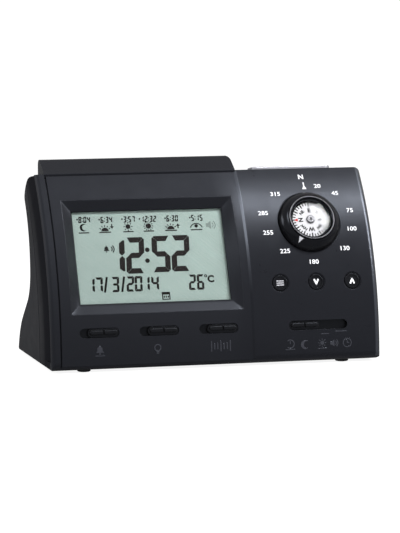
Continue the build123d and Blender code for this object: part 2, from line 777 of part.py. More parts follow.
def compass_pivot():
    floor = -SEAT_DEPTH - 3.8
    pin = rod(0.5, floor, CARD_LEVEL - 0.2)
    pin += rod(1.4, floor, floor + 1.0)
    pin += Pos(0, 0, CARD_LEVEL - 0.2 + 0.15) * Cone(0.5, 0.1, 0.3)
    return compass_plane() * pin


# ---------------------------------------------------------------- buttons

def push_button(left):
    """Round cap with a raised rim, a flange behind the panel and a stem."""
    cap = rod(BUTTON_RADIUS, -3.6, -0.1)
    cap = fillet(cap.edges().filter_by(GeomType.CIRCLE).sort_by(Axis.Z)[-1], 0.35)
    cap -= rod(BUTTON_RADIUS - 1.0, -0.45, 1.0)
    cap += rod(BUTTON_RADIUS + 1.4, -3.6, -2.6)
    cap += rod(1.5, -4.1, -3.6)
    return panel_plane(left, BUTTON_S) * cap


def tact_switches():
    switches = []
    for left in BUTTON_XS:
        body = plate(6.0, 6.0, -9.5, -6.1, 0.5)
        body += rod(1.7, -6.1, -5.2)
        switches.append(panel_plane(left, BUTTON_S) * body)
    return switches


def button_board():
    board = panel_plane(BUTTON_XS[1], BUTTON_S) * plate(56.0, 12.0, -9.5 - BOARD_THICK, -9.5, 1.0)
    for hole in button_posts(SMALL_SCREW_RADIUS + 0.2, -13.0, -9.0):
        board -= hole
    return board


# ---------------------------------------------------------------- slide switches

def slide_knob(left, slot, travel):
    """Knob with a split ridge, and the plate behind it that closes the slot."""
    knob = Pos(0, 0, -2.7) * extrude(slot_shape(KNOB_LENGTH, SLOT_HEIGHT - 0.6), 2.1)
    ridge = Pos(0, 0.2, -0.7) * extrude(slot_shape(KNOB_LENGTH - 1.6, 2.4), 1.3)
    ridge = fillet(ridge.edges().group_by(Axis.Z)[-1], 0.7)
    knob += ridge - plate(0.9, 4.0, -0.6, 2.0)
    reach = slot / 2 + travel / 2 + CARRIER_COVER
    knob += plate(2 * reach, SLOT_HEIGHT + 2.0, -3.6, -2.6)
    knob += plate(1.8, 1.8, -6.9, -3.6)
    return panel_plane(left, SWITCH_S) * knob


def slide_switch(left, travel):
    """Switch body whose groove the knob's stem runs in."""
    body = plate(travel + 8.0, 5.4, -10.0, -5.8, 0.4)
    body -= plate(travel + 2.6, 2.4, -7.4, -5.0)
    return panel_plane(left, SWITCH_S) * body


def switch_board():
    """Long board under the slots, deeper below them for its screws."""
    left, right = 13.0, 164.5
    low, high = SWITCH_POST_DROP - 2.4, 5.5
    shape = plate(right - left, high - low, -10.0 - BOARD_THICK, -10.0, 1.0)
    board = panel_plane((left + right) / 2, SWITCH_S) * (Pos(0, (low + high) / 2, 0) * shape)
    for hole in switch_posts(SMALL_SCREW_RADIUS + 0.2, -13.0, -9.0):
        board -= hole
    return board


# ---------------------------------------------------------------- snooze bar

def snooze_bar():
    """Wide wedge bar, hollow below, with a foot in the well."""
    x0, x1 = cross(BAR_LEFT), cross(BAR_RIGHT)
    slope = Line(BAR_FRONT, BAR_SHOULDER)
    crown = TangentArc(slope @ 1, BAR_BACK, tangent=slope % 1)
    rear_foot = (BAR_BACK[0], BAR_FOOT)
    front_foot = (BAR_FRONT[0], BAR_FOOT)
    edges = [slope, crown, Line(BAR_BACK, rear_foot)]
    edges += [Line(rear_foot, front_foot), Line(front_foot, BAR_FRONT)]
    face = make_face(edges)
    tip = face.vertices().sort_by_distance((BAR_FRONT[0], BAR_FRONT[1], 0))[0]
    bar = along_x(fillet(tip, BAR_TIP), x0, x1)
    crest = crown.bounding_box().max.Y
    bar -= along_y(corner_waste(1, 1, BAR_CORNER), x1, crest, 30.0, 60.0)
    below = BAR_FOOT - 3.0
    ceiling = list(BAR_ROOM)
    room = Polygon((BAR_ROOM[0][0], below), *ceiling, (BAR_ROOM[-1][0], below), align=None)
    bar -= along_x(room, x0 + BAR_ENDS[0], x1 - BAR_ENDS[1])
    for x in SPRING_XS:
        bar += post(cross(x), SPRING_Y, 3.3, SPRING_SEAT, SEAT_TOP)
        bar += post(cross(x), SPRING_Y, 1.7, BAR_FOOT + 0.4, SPRING_SEAT)
    bar += post(cross(SNOOZE_X), SPRING_Y, 2.0, SPRING_SEAT + 0.2, SEAT_TOP)
    return bar


def coil(radius, wire, height, turns):
    """Helical spring standing on its base."""
    path = Helix(height / turns, height, radius)
    section = Plane(origin=path @ 0, z_dir=path % 0) * Circle(wire)
    return sweep(section, path=path)


def snooze_springs():
    springs = []
    wire = 0.3
    for x in SPRING_XS:
        spring = coil(SPRING_RADIUS, wire, SPRING_SEAT - WELL_FLOOR - 2 * wire - 0.2, 5)
        springs.append(Pos(*place(cross(x), (SPRING_Y, WELL_FLOOR + wire + 0.1))) * spring)
    return springs


def snooze_switch():
    """Push switch in the well, under the middle of the bar."""
    x = cross(SNOOZE_X)
    body = box(x - 3.0, x + 3.0, SPRING_Y - 3.0, SPRING_Y + 3.0, WELL_FLOOR, WELL_FLOOR + 3.4)
    return body + post(x, SPRING_Y, 1.7, WELL_FLOOR + 3.4, WELL_FLOOR + 4.2)


# ---------------------------------------------------------------- speaker

def speaker_grille():
    """Bright slotted plate on the sloping top."""
    width, depth = GRILLE_SIZE
    grille = plate(width, depth, 0.0, GRILLE_RISE, 3.0)
    grille = fillet(grille.edges().group_by(Axis.Z)[-1], 0.6)
    grille += plate(width - 5.4, depth - 4.0, -2.0, 0.5)
    pitch = (width - 9.0) / (GRILLE_SLOTS * 2 - 1)
    for n in range(GRILLE_SLOTS * 2):
        x = -(width - 9.0) / 2 + n * pitch
        grille -= Pos(x, 0, -3.0) * extrude(slot_shape(1.1, depth - 5.2), 6.0)
    return top_plane(GRILLE_X) * grille


def loudspeaker():
    """Narrow oval speaker: frame, cone edge and magnet."""
    body = plate(40.0, 12.6, -4.4, -3.2, 6.2)
    body += plate(34.0, 10.0, -6.4, -4.4, 4.9)
    body += plate(16.0, 9.0, -10.4, -6.4, 1.0)
    body -= Pos(0, 0, -3.7) * extrude(RectangleRounded(36.0, 8.6, 4.2), 2.0)
    return top_plane(GRILLE_X) * (Pos(0, 2.2, 0) * body)


def speaker_gasket():
    ring = plate(40.0, 12.6, -3.2, -2.3, 6.2) - plate(36.8, 9.2, -4.0, -2.0, 4.5)
    return top_plane(GRILLE_X) * (Pos(0, 2.2, 0) * ring)


# ---------------------------------------------------------------- batteries

def battery_cells():
    """Four round cells in two rows, the rows facing opposite ways."""
    cells = []
    for row, y in enumerate(CELL_YS):
        way = 1 if row == 0 else -1
        for x in (-CELL_LENGTH / 2 - 0.2, CELL_LENGTH / 2 + 0.2):
            start = place(x - way * CELL_LENGTH / 2, (y, CELL_Z))
            cell = rod(CELL_RADIUS, 0, CELL_LENGTH - NUB_LENGTH)
            cell += rod(NUB_RADIUS, 0, CELL_LENGTH)
            cells.append(Plane(origin=start, z_dir=(way, 0, 0)) * cell)
    return cells


def battery_contacts():
    """Nickel plates at both ends of the bay."""
    plates = []
    for side in (-1, 1):
        x0 = side * (BAY_X - 0.5)
        x1 = side * (BAY_X - 0.05)
        low, high = min(x0, x1), max(x0, x1)
        for y in CELL_YS:
            plates.append(box(low, high, y - 5.5, y + 5.5, 4.5, 16.0))
    return plates


def battery_springs():
    """Coil springs that press each row of cells together."""
    springs = []
    length = BAY_X - CELL_LENGTH - 1.0
    for row, y in enumerate(CELL_YS):
        side = -1 if row == 0 else 1
        spring = coil(3.4, 0.3, length - 0.8, 3)
        start = Plane(origin=place(side * (BAY_X - 0.55), (y, CELL_Z)), z_dir=(-side, 0, 0))
        springs.append(start * (Pos(0, 0, 0.4) * spring))
    return springs


def battery_door():
    """Sliding door in the base, with a rail along each side and finger ribs."""
    top = DOOR_SINK + DOOR_THICK
    door = box(-DOOR_X, DOOR_X, DOOR_Y[0], DOOR_Y[1], DOOR_SINK, top)
    for side in (-1, 1):
        low = min(side * DOOR_X, side * (DOOR_X + RAIL))
        for y in (DOOR_Y[0] + 4.0, DOOR_Y[1] - 12.0):
            door += box(low, low + RAIL, y, y + 8.0, 1.1, top)
    for n in range(5):
        y = DOOR_Y[1] - 5.0 - 1.8 * n
        door -= box(-9.0, 9.0, y, y + 0.8, DOOR_SINK - 1.0, DOOR_SINK + 0.5)
    return door


# ---------------------------------------------------------------- fasteners and feet

def case_screws():
    """Four screws put in from the back."""
    screws = []
    for x in SCREW_XS:
        for z in SCREW_ZS:
            rim = parting_y(z)
            screw = screw_line(x, z, SCREW_RADIUS, rim - 9.0, rim + 4.0)
            head = screw_line(x, z, SCREW_HEAD_RADIUS, rim + 4.0, rim + 6.0)
            cross_cut = Plane(origin=place(x, (rim + 5.0, z)), x_dir=(1, 0, 0), z_dir=(0, 1, 0))
            head -= cross_cut * plate(3.4, 0.7, 0, 2.0)
            head -= cross_cut * plate(0.7, 3.4, 0, 2.0)
            screws.append(screw + head)
    return screws


def small_screw(z0, length):
    """Screw with its head below the level z0 and its shank above."""
    screw = rod(SMALL_SCREW_RADIUS, z0, z0 + length) + rod(1.9, z0 - 1.2, z0)
    return screw - plate(2.4, 0.5, z0 - 1.5, z0 - 0.7)


def board_screws():
    screws = []
    back = board_level() - BOARD_THICK
    for x in POST_XS:
        for y in POST_YS:
            screws.append(display_plane() * (Pos(x, y, 0) * small_screw(back, BOARD_THICK + 3.0)))
    for left in (BUTTON_XS[0] + 10.0, BUTTON_XS[1] + 10.0):
        screws.append(panel_plane(left, BUTTON_S) * small_screw(-9.5 - BOARD_THICK, BOARD_THICK + 3.0))
    for left in SWITCH_POST_XS:
        screw = Pos(0, SWITCH_POST_DROP, 0) * small_screw(-10.0 - BOARD_THICK, BOARD_THICK + 3.0)
        screws.append(panel_plane(left, SWITCH_S) * screw)
    for spot in PolarLocations(14.6, 3, start_angle=30):
        screws.append(compass_plane() * (spot * small_screw(-SEAT_DEPTH - 5.0, 3.0)))
    return screws


def feet():
    """Four round rubber feet set into the base."""
    pads = []
    for x in FOOT_XS:
        for y in FOOT_YS:
            foot = rod(FOOT_RADIUS, -FOOT_HEIGHT, 0.8)
            foot = fillet(foot.edges().filter_by(GeomType.CIRCLE).sort_by(Axis.Z)[0], 0.8)
            pads.append(Pos(*place(x, (y, 0))) * foot)
    return pads


# ---------------------------------------------------------------- assembly

def pieces():
    outline = side_outline()
    body = outer_body(outline)
    made = {
        "front_case": front_case(body, outline),
        "rear_case": rear_case(body, outline),
        "lcd_bezel": lcd_bezel(),
        "lcd_lens": lcd_lens(),
        "lcd_glass": lcd_glass(),
        "light_guide": light_guide(),
        "backlight_leds": backlight_leds(),
        "display_frame": display_frame(),
        "contact_strips": contact_strips(),
        "main_board": main_board(),
        "board_chips": board_chips(),
        "temperature_sensor": temperature_sensor(),
        "compass_ring": compass_ring(),
        "compass_cup": compass_cup(),
        "compass_lens": compass_lens(),
        "compass_card": compass_card(),
        "compass_magnet": compass_magnet(),
        "compass_pivot": compass_pivot(),
        "tact_switches": tact_switches(),
        "button_board": button_board(),
        "switch_board": switch_board(),
        "snooze_bar": snooze_bar(),
        "snooze_springs": snooze_springs(),
        "snooze_switch": snooze_switch(),
        "speaker_grille": speaker_grille(),
        "loudspeaker": loudspeaker(),
        "speaker_gasket": speaker_gasket(),
        "battery_cells": battery_cells(),
        "battery_contacts": battery_contacts(),
        "battery_springs": battery_springs(),
        "battery_door": battery_door(),
        "case_screws": case_screws(),
        "board_screws": board_screws(),
        "feet": feet(),
    }
    for name, left in zip(BUTTON_NAMES, BUTTON_XS):
        made[name] = push_button(left)
    switches = []
    for number, left in enumerate(SWITCH_XS, 1):
        rest = left + SWITCH_TRAVEL / 2
        made[f"slide_knob_{number}"] = slide_knob(rest, SWITCH_SLOT, SWITCH_TRAVEL)
        switches.append(slide_switch(left, SWITCH_TRAVEL))
    rest = FUNCTION_X - FUNCTION_TRAVEL / 2
    made["function_knob"] = slide_knob(rest, FUNCTION_SLOT, FUNCTION_TRAVEL)
    switches.append(slide_switch(FUNCTION_X, FUNCTION_TRAVEL))
    made["slide_switches"] = switches
    return made


def write_parts():
    os.makedirs("parts", exist_ok=True)
    for name, shape in pieces().items():
        solids = shape if isinstance(shape, list) else [shape]
        whole = Compound([solid for item in solids for solid in item.solids()], label=name)
        export_step(whole, f"parts/{name}.step")


if __name__ == "__main__":
    write_parts()
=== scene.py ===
import math

import bmesh
import bpy
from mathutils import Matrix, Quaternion, Vector


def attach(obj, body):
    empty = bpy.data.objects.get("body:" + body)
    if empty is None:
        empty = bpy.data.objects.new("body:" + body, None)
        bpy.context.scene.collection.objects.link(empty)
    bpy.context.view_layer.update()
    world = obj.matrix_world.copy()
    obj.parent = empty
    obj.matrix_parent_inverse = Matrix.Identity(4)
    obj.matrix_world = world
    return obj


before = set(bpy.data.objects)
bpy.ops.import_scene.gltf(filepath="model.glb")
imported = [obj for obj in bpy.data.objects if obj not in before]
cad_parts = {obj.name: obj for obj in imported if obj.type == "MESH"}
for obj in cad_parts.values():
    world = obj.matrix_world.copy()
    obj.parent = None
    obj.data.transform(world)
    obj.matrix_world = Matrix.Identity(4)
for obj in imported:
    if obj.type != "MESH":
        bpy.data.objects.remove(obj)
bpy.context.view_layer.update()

MM = 0.001

# ---- the clock's front, in millimetres, as the CAD model has it ----
WIDTH = 179.6
CENTRE = 41.54              # the frame's origin lies this far behind the front edge
FOOT_HEIGHT = 1.4
PANEL_RADIUS = 150.0        # the front panel is one arc, upright at the base
PANEL_LEAN = math.radians(0.271)
PANEL_DROP = 0.5            # the display side lies this much lower
STRIP = 4.7                 # the raised strip at the panel's left edge
CREASE = 109.6              # where the display side steps up to the compass side
CREASE_WIDTH = 1.2          # of the sloping step
DISPLAY_X = 57.9            # centre of the window, measured from the left side
DISPLAY_AT = (18.4, 56.8)   # its distance behind the front edge and height above the base
DISPLAY_LEAN = math.radians(24.0)
LENS_THICK = 1.2            # of the display's window
COMPASS_AT = (145.0, 75.8)  # from the left side, and along the panel
COMPASS_TURN = 213.0        # heading of the ring's pointer, clockwise from the top
RING_RIM_RADIUS = 12.4      # outer edge of the ring's flat top
SKIRT_CENTRE = (10.44, -1.24)   # the arc of the ring's skirt, as radius and height
SKIRT_RADIUS = 6.578
RING_HEIGHT = 5.8           # of that top over the panel
CARD_RADIUS = 9.8
CARD_LEVEL = 2.6            # top of the card above the seat
HUB_TOP = 3.15              # top of the card's cap above the seat
BUTTON_S = 42.4             # the buttons' place along the panel
BUTTON_XS = {"button_set": 125.2, "button_down": 145.2, "button_up": 165.2}
BUTTON_FACE = -0.45         # the cap's face, below the panel

# ---- camera, in metres ----
FRAME_HEIGHT = 533          # of the image, in pixels
FOCAL_PIXELS = 2996.3       # focal length, in pixels of that image
SENSOR = 36.0               # in millimetres
CAMERA_AT = Vector((-0.42124, -1.53972, 0.24077))
CAMERA_AIM = Vector((0.2626, 0.9575, -0.1193))
CAMERA_REACH = 100.0        # how far it sees

# ---- what the lamps are aimed at, and the places of two of them, in metres ----
CLOCK_MIDDLE = (0.0, 0.0, 0.05)
COMPASS_SIDE = (0.06, -0.02, 0.08)
CREASE_HEAD = (0.0194, -0.03, 0.075)
RIGHT_EDGE = (0.088, -0.01, 0.075)
COMPASS_LENS_AT = (0.0552, -0.0267, 0.0763)
WINDOW_AT = (0.2466, -0.3783, 0.526)    # a small bright window, mirrored across the compass lens
TOP_AT = (0.1, -0.03, 0.9)

# ---- sky and floor ----
SKY = 0.6                   # strength of the light from all round
FLOOR_REACH = 40.0          # half the floor's width, in metres
FLOOR_SHADE = 0.8           # its colour
FLOOR_EVEN = 0.72           # share of the floor that is plain white to the camera
FLOOR_GLOW = (0.3, 1.25)    # its brightness in gloss, and to the camera

# ---- print and finish, in millimetres ----
INK = 0.03                  # thickness of printed ink
INK_LIFT = 0.04             # its height over the arc that the panel's facets follow
RELIEF_LIFT = -0.1          # foot of the raised signs
RELIEF_THICK = 0.185
ARC_CENTRE = (PANEL_RADIUS * math.cos(PANEL_LEAN) - CENTRE,
              FOOT_HEIGHT - PANEL_RADIUS * math.sin(PANEL_LEAN))
HOLLOW_DEPTHS = (30.0, 15.0, 4.5, 2.6)  # behind the arc: past the seam, the hollow, and the strip's edge
SEAM_SHARE = 0.45           # share of the hollow's dullness that is left past the seam
SIDE_ZONE = -86.8           # the hollow lies to the left of this
FRONT_DEPTHS = (1.2, 0.8)       # behind the arc, where the panel's further gloss fades in
FINISH_CHANGE = (5.0, 20.0)     # between these x the matt finish turns to a polished one
CREASE_FADE = (38.0, 66.0)      # between these heights the crease's gloss fades in
RIGHT_BAND = (86.9, 88.3)       # between these x the right edge's rounding is glossy


# ---------------------------------------------------------------- places on the clock

def panel_spot(left, s):
    """Places beside a point of the panel: x across, y up along the arc, z out of it."""
    drop = PANEL_DROP if STRIP < left < CREASE else 0.0

    def where(x, y, z):
        lean = PANEL_LEAN + (s + y) / PANEL_RADIUS
        out = z - drop
        depth = PANEL_RADIUS * (math.cos(PANEL_LEAN) - math.cos(lean)) - out * math.cos(lean)
        height = PANEL_RADIUS * (math.sin(lean) - math.sin(PANEL_LEAN)) + out * math.sin(lean)
        return Vector((left + x - WIDTH / 2, depth - CENTRE, height + FOOT_HEIGHT)) * MM

    return where


def flat_spot(origin, lean):
    """Places on a flat face with that lean: x across, y up the face, z out of it."""
    up = Vector((0, math.sin(lean), math.cos(lean)))
    out = Vector((0, -math.cos(lean), math.sin(lean)))

    def where(x, y, z):
        return origin + (Vector((x, 0, 0)) + up * y + out * z) * MM

    return where


def tangent_spot(left, s, turn=0.0):
    """Places on the flat face that touches the panel at a point, turned clockwise."""
    origin = panel_spot(left, s)(0, 0, 0)
    flat = flat_spot(origin, PANEL_LEAN + s / PANEL_RADIUS)
    c, n = math.cos(math.radians(turn)), math.sin(math.radians(turn))

    def where(x, y, z):
        return flat(x * c + y * n, y * c - x * n, z)

    return where


def display_spot():
    x = DISPLAY_X - WIDTH / 2
    origin = Vector((x, DISPLAY_AT[0] - CENTRE, DISPLAY_AT[1] + FOOT_HEIGHT)) * MM
    return flat_spot(origin, DISPLAY_LEAN)


# ---------------------------------------------------------------- flat shapes

def moved(shapes, x, y, scale=1.0):
    return [[(px * scale + x, py * scale + y) for px, py in shape] for shape in shapes]


def turned(shapes, angle):
    """Shapes turned clockwise by an angle in degrees."""
    c, s = math.cos(math.radians(angle)), math.sin(math.radians(angle))
    return [[(x * c + y * s, y * c - x * s) for x, y in shape] for shape in shapes]


def disc(x, y, radius, steps=24):
    turn = 2 * math.pi / steps
    return [[(x + radius * math.cos(k * turn), y + radius * math.sin(k * turn)) for k in range(steps)]]


def arc_band(x, y, inner, outer, start, end, steps=16):
    """Band between two radii, from one heading to another, clockwise from the top."""
    shapes = []
    for k in range(steps):
        a = math.radians(start + (end - start) * k / steps)
        b = math.radians(start + (end - start) * (k + 1) / steps)
        corners = ((inner, a), (outer, a), (outer, b), (inner, b))
        shapes.append([(x + r * math.sin(t), y + r * math.cos(t)) for r, t in corners])
    return shapes


def bar(x0, y0, x1, y1, width):
    """Straight stroke with square ends."""
    along = Vector((x1 - x0, y1 - y0)).normalized()
    nx, ny = -along.y * width / 2, along.x * width / 2
    return [[(x0 + nx, y0 + ny), (x0 - nx, y0 - ny), (x1 - nx, y1 - ny), (x1 + nx, y1 + ny)]]


def box_shape(x, y, width, height):
    return bar(x - width / 2, y, x + width / 2, y, height)


LIT_SEGMENTS = {
    "0": "abcdef", "1": "bc", "2": "abged", "3": "abgcd", "4": "fgbc",
    "5": "afgcd", "6": "afgecd", "7": "abc", "8": "abcdefg", "9": "abcdfg",
}
# shares of a stroke's width, for the ends of the figures' segments
MITRE = 0.4                 # the cut corner where two segments meet
FREE_TIP = 0.24             # the slanted end of a free level segment, outside
FREE_HEEL = 0.78            # and inside
FREE_CORNER = 0.35          # the cut corner of a free upright one


def level_segment(w, h, t, gap, joined_left, joined_right):
    """The top segment: mitred where it meets an upright, and cut at a slant where it is free."""
    corner = t * MITRE
    if joined_left:
        points = [(-w + t, h - t), (-w + corner / 2 + gap, h - corner / 2), (-w + corner, h)]
    else:
        points = [(-w + t * FREE_HEEL, h - t), (-w + t * FREE_TIP, h)]
    if joined_right:
        points += [(w - corner, h), (w - corner / 2 - gap, h - corner / 2), (w - t, h - t)]
    else:
        points += [(w - t * FREE_TIP, h), (w - t * FREE_HEEL, h - t)]
    return points


def upright_segment(w, h, t, gap, joined):
    """The upper right segment: mitred under a level one, or cut short where it is free."""
    corner = t * MITRE
    foot = [(w, t / 2), (w - t / 2, gap), (w - t, t / 2), (w - t, h - t - gap)]
    if joined:
        return [(w, h - corner)] + foot + [(w - corner / 2, h - corner / 2 - gap)]
    return [(w, h - t / 2)] + foot + [(w - t * FREE_CORNER, h - t / 2)]


def flipped(points, across, up):
    return [(x * across, y * up) for x, y in points]


def seven_segments(digit, width, height, stroke, gap=0.06):
    """The lit segments of a digit around the digit's centre."""
    lit = LIT_SEGMENTS[digit]
    w, h, t = width / 2, height / 2, stroke
    upper = upright_segment(w, h, t, gap, "a" in lit)
    lower = upright_segment(w, h, t, gap, "d" in lit)
    half = t / 2
    shapes = {
        "a": level_segment(w, h, t, gap, "f" in lit, "b" in lit),
        "b": upper,
        "c": flipped(lower, 1, -1),
        "d": flipped(level_segment(w, h, t, gap, "e" in lit, "c" in lit), 1, -1),
        "e": flipped(lower, -1, -1),
        "f": flipped(upper, -1, 1),
        "g": [(-w + half, 0), (-w + t, half), (w - t, half), (w - half, 0), (w - t, -half), (-w + t, -half)],
    }
    return [shapes[name] for name in lit]


def slanted(shapes, slope):
    return [[(x + y * slope, y) for x, y in shape] for shape in shapes]


def letters(words, height, bold=0.0, widen=1.0):
    """Faces of plain lettering with capitals of that height, as corners around its centre."""
    curve = bpy.data.curves.new("words", "FONT")
    curve.body = words
    curve.align_x = "CENTER"
    curve.offset = bold
    curve.resolution_u = 3
    holder = bpy.data.objects.new("words", curve)
    bpy.context.scene.collection.objects.link(holder)
    bpy.context.view_layer.update()
    graph = bpy.context.evaluated_depsgraph_get()
    mesh = bpy.data.meshes.new_from_object(holder.evaluated_get(graph))
    points = [v.co.copy() for v in mesh.vertices]
    low = min(p.y for p in points)
    high = max(p.y for p in points)
    middle_x = (min(p.x for p in points) + max(p.x for p in points)) / 2
    middle_y = (low + high) / 2
    scale = height / (high - low)
    shapes = []
    for face in mesh.polygons:
        corners = [points[i] for i in face.vertices]
        shapes.append([((p.x - middle_x) * scale * widen, (p.y - middle_y) * scale) for p in corners])
    bpy.data.objects.remove(holder)
    bpy.data.curves.remove(curve)
    bpy.data.meshes.remove(mesh)
    return shapes


def thin_piece(name, shapes, where, body, material, lift=INK_LIFT, thick=INK):
    """Flat shapes as one thin solid on a face of the clock."""
    work = bmesh.new()
    for shape in shapes:
        work.faces.new([work.verts.new((x, y, 0)) for x, y in shape])
    bmesh.ops.remove_doubles(work, verts=work.verts, dist=1e-4)
    grown = bmesh.ops.extrude_face_region(work, geom=work.faces[:])
    for part in grown["geom"]:
        if isinstance(part, bmesh.types.BMVert):
            part.co.z = thick
    for vertex in work.verts:
        vertex.co = where(vertex.co.x, vertex.co.y, vertex.co.z + lift)
    bmesh.ops.recalc_face_normals(work, faces=work.faces)
    mesh = bpy.data.meshes.new(name)
    work.to_mesh(mesh)
    work.free()
    mesh.materials.append(material)
    piece = bpy.data.objects.new(name, mesh)
    bpy.context.scene.collection.objects.link(piece)
    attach(piece, body)
    return piece


# ---------------------------------------------------------------- materials

def linear(red, green, blue):
    """A colour given as it shows on screen, 0 to 255, as the shader's linear colour."""
    def one(v):
        v /= 255
        return v / 12.92 if v <= 0.04045 else ((v + 0.055) / 1.055) ** 2.4
    return (one(red), one(green), one(blue), 1.0)


SHEEN = (0.78, 0.85, 1.0, 1.0)      # the cool cast of the black plastic's gloss
GRAIN_DEPTH = 0.012                 # of the mould grain, in millimetres


class Look:
    """A material with its shader, and short calls to add nodes and join them."""

    def __init__(self, name, **values):
        self.material = bpy.data.materials.new(name)
        self.material.use_nodes = True
        self.tree = self.material.node_tree
        self.shader = self.tree.nodes["Principled BSDF"]
        self.place = self.add("ShaderNodeTexCoord").outputs["Object"]
        self.set(self.shader, **values)

    def add(self, kind, **settings):
        node = self.tree.nodes.new(kind)
        for key, value in settings.items():
            setattr(node, key, value)
        return node

    def set(self, node, **values):
        for key, value in values.items():
            node.inputs[key.replace("_", " ")].default_value = value

    def join(self, output, socket):
        self.tree.links.new(output, socket)

    def noise(self, size, detail=2.0, roughness=0.5):
        """Noise whose features are about that many millimetres across."""
        node = self.add("ShaderNodeTexNoise")
        self.set(node, Scale=1.0 / (size * MM), Detail=detail, Roughness=roughness)
        self.join(self.place, node.inputs["Vector"])
        return node.outputs["Fac"]

    def spread(self, value, low, high, from_low=0.3, from_high=0.7):
        """A value stretched to a range."""
        node = self.add("ShaderNodeMapRange")
        self.join(value, node.inputs["Value"])
        numbers = {"From Min": from_low, "From Max": from_high, "To Min": low, "To Max": high}
        for key, number in numbers.items():
            node.inputs[key].default_value = number
        return node.outputs["Result"]

    def blend(self, value, first, second):
        """Colour between two colours, each a colour or another node's output."""
        node = self.add("ShaderNodeMix", data_type="RGBA")
        self.join(value, node.inputs["Factor"])
        for socket, colour in ((node.inputs[6], first), (node.inputs[7], second)):
            if isinstance(colour, tuple):
                socket.default_value = colour
            else:
                self.join(colour, socket)
        return node.outputs[2]

    def colour(self, output):
        self.join(output, self.shader.inputs["Base Color"])

    def rough(self, output):
        self.join(output, self.shader.inputs["Roughness"])

    def soft_edges(self, radius):
        """Normals that round every edge by that radius in millimetres."""
        node = self.add("ShaderNodeBevel", samples=4)
        self.set(node, Radius=radius * MM)
        return node.outputs["Normal"]

    def edge_mask(self, rounded):
        """1 on worn edges and 0 on open faces."""
        true = self.add("ShaderNodeNewGeometry").outputs["Normal"]
        dot = self.add("ShaderNodeVectorMath", operation="DOT_PRODUCT")
        self.join(rounded, dot.inputs[0])
        self.join(true, dot.inputs[1])
        return self.spread(dot.outputs["Value"], 1.0, 0.0, 0.75, 0.995)

    def bump(self, height, strength, depth, normal=None):
        node = self.add("ShaderNodeBump")
        self.set(node, Strength=strength, Distance=depth * MM)
        self.join(height, node.inputs["Height"])
        if normal:
            self.join(normal, node.inputs["Normal"])
        self.join(node.outputs["Normal"], self.shader.inputs["Normal"])


def moulded(name, shade, roughness, grain=0.35, edge=0.22, gloss=0.5,
            polish=None, dull=None, bright=0.0):
    """Moulded plastic with a fine mould grain, uneven sheen and slightly rubbed edges.

    polish is the roughness of the compass side, dull the gloss of the left hollow, and
    bright the further gloss of the crease and the right edge, where those differ."""
    look = Look(name, Specular_IOR_Level=gloss, Specular_Tint=SHEEN)
    rounded = look.soft_edges(edge)
    worn = look.edge_mask(rounded)
    cloud = look.noise(38.0, 3.0)
    dark = tuple(v * 0.9 for v in shade[:3]) + (1.0,)
    pale = tuple(v * 1.12 for v in shade[:3]) + (1.0,)
    rubbed = tuple(min(1.0, v * 1.7 + 0.006) for v in shade[:3]) + (1.0,)
    body = look.blend(cloud, dark, pale)
    look.colour(look.blend(look.spread(worn, 0.0, 0.55, 0.0, 1.0), body, rubbed))
    handled = look.noise(9.0, 4.0, 0.6)
    if polish is None:
        look.rough(look.spread(handled, roughness - 0.03, roughness + 0.04))
    else:
        across = look.add("ShaderNodeSeparateXYZ")
        look.join(look.place, across.inputs["Vector"])
        start, end = FINISH_CHANGE
        side = look.spread(across.outputs["X"], 0.0, 1.0, start * MM, end * MM)
        mix = look.add("ShaderNodeMix", data_type="FLOAT")
        look.join(side, mix.inputs["Factor"])
        look.join(look.spread(handled, roughness - 0.03, roughness + 0.04), mix.inputs[2])
        look.join(look.spread(handled, polish - 0.02, polish + 0.03), mix.inputs[3])
        look.rough(mix.outputs[0])
    if dull is not None:
        graded_gloss(look, gloss, dull, bright)
    look.bump(look.noise(grain, 2.0, 0.6), 0.35, GRAIN_DEPTH, rounded)
    return look.material


def product(look, *values):
    """Product of masks."""
    total = values[0]
    for value in values[1:]:
        node = look.add("ShaderNodeMath", operation="MULTIPLY")
        look.join(total, node.inputs[0])
        look.join(value, node.inputs[1])
        total = node.outputs[0]
    return total


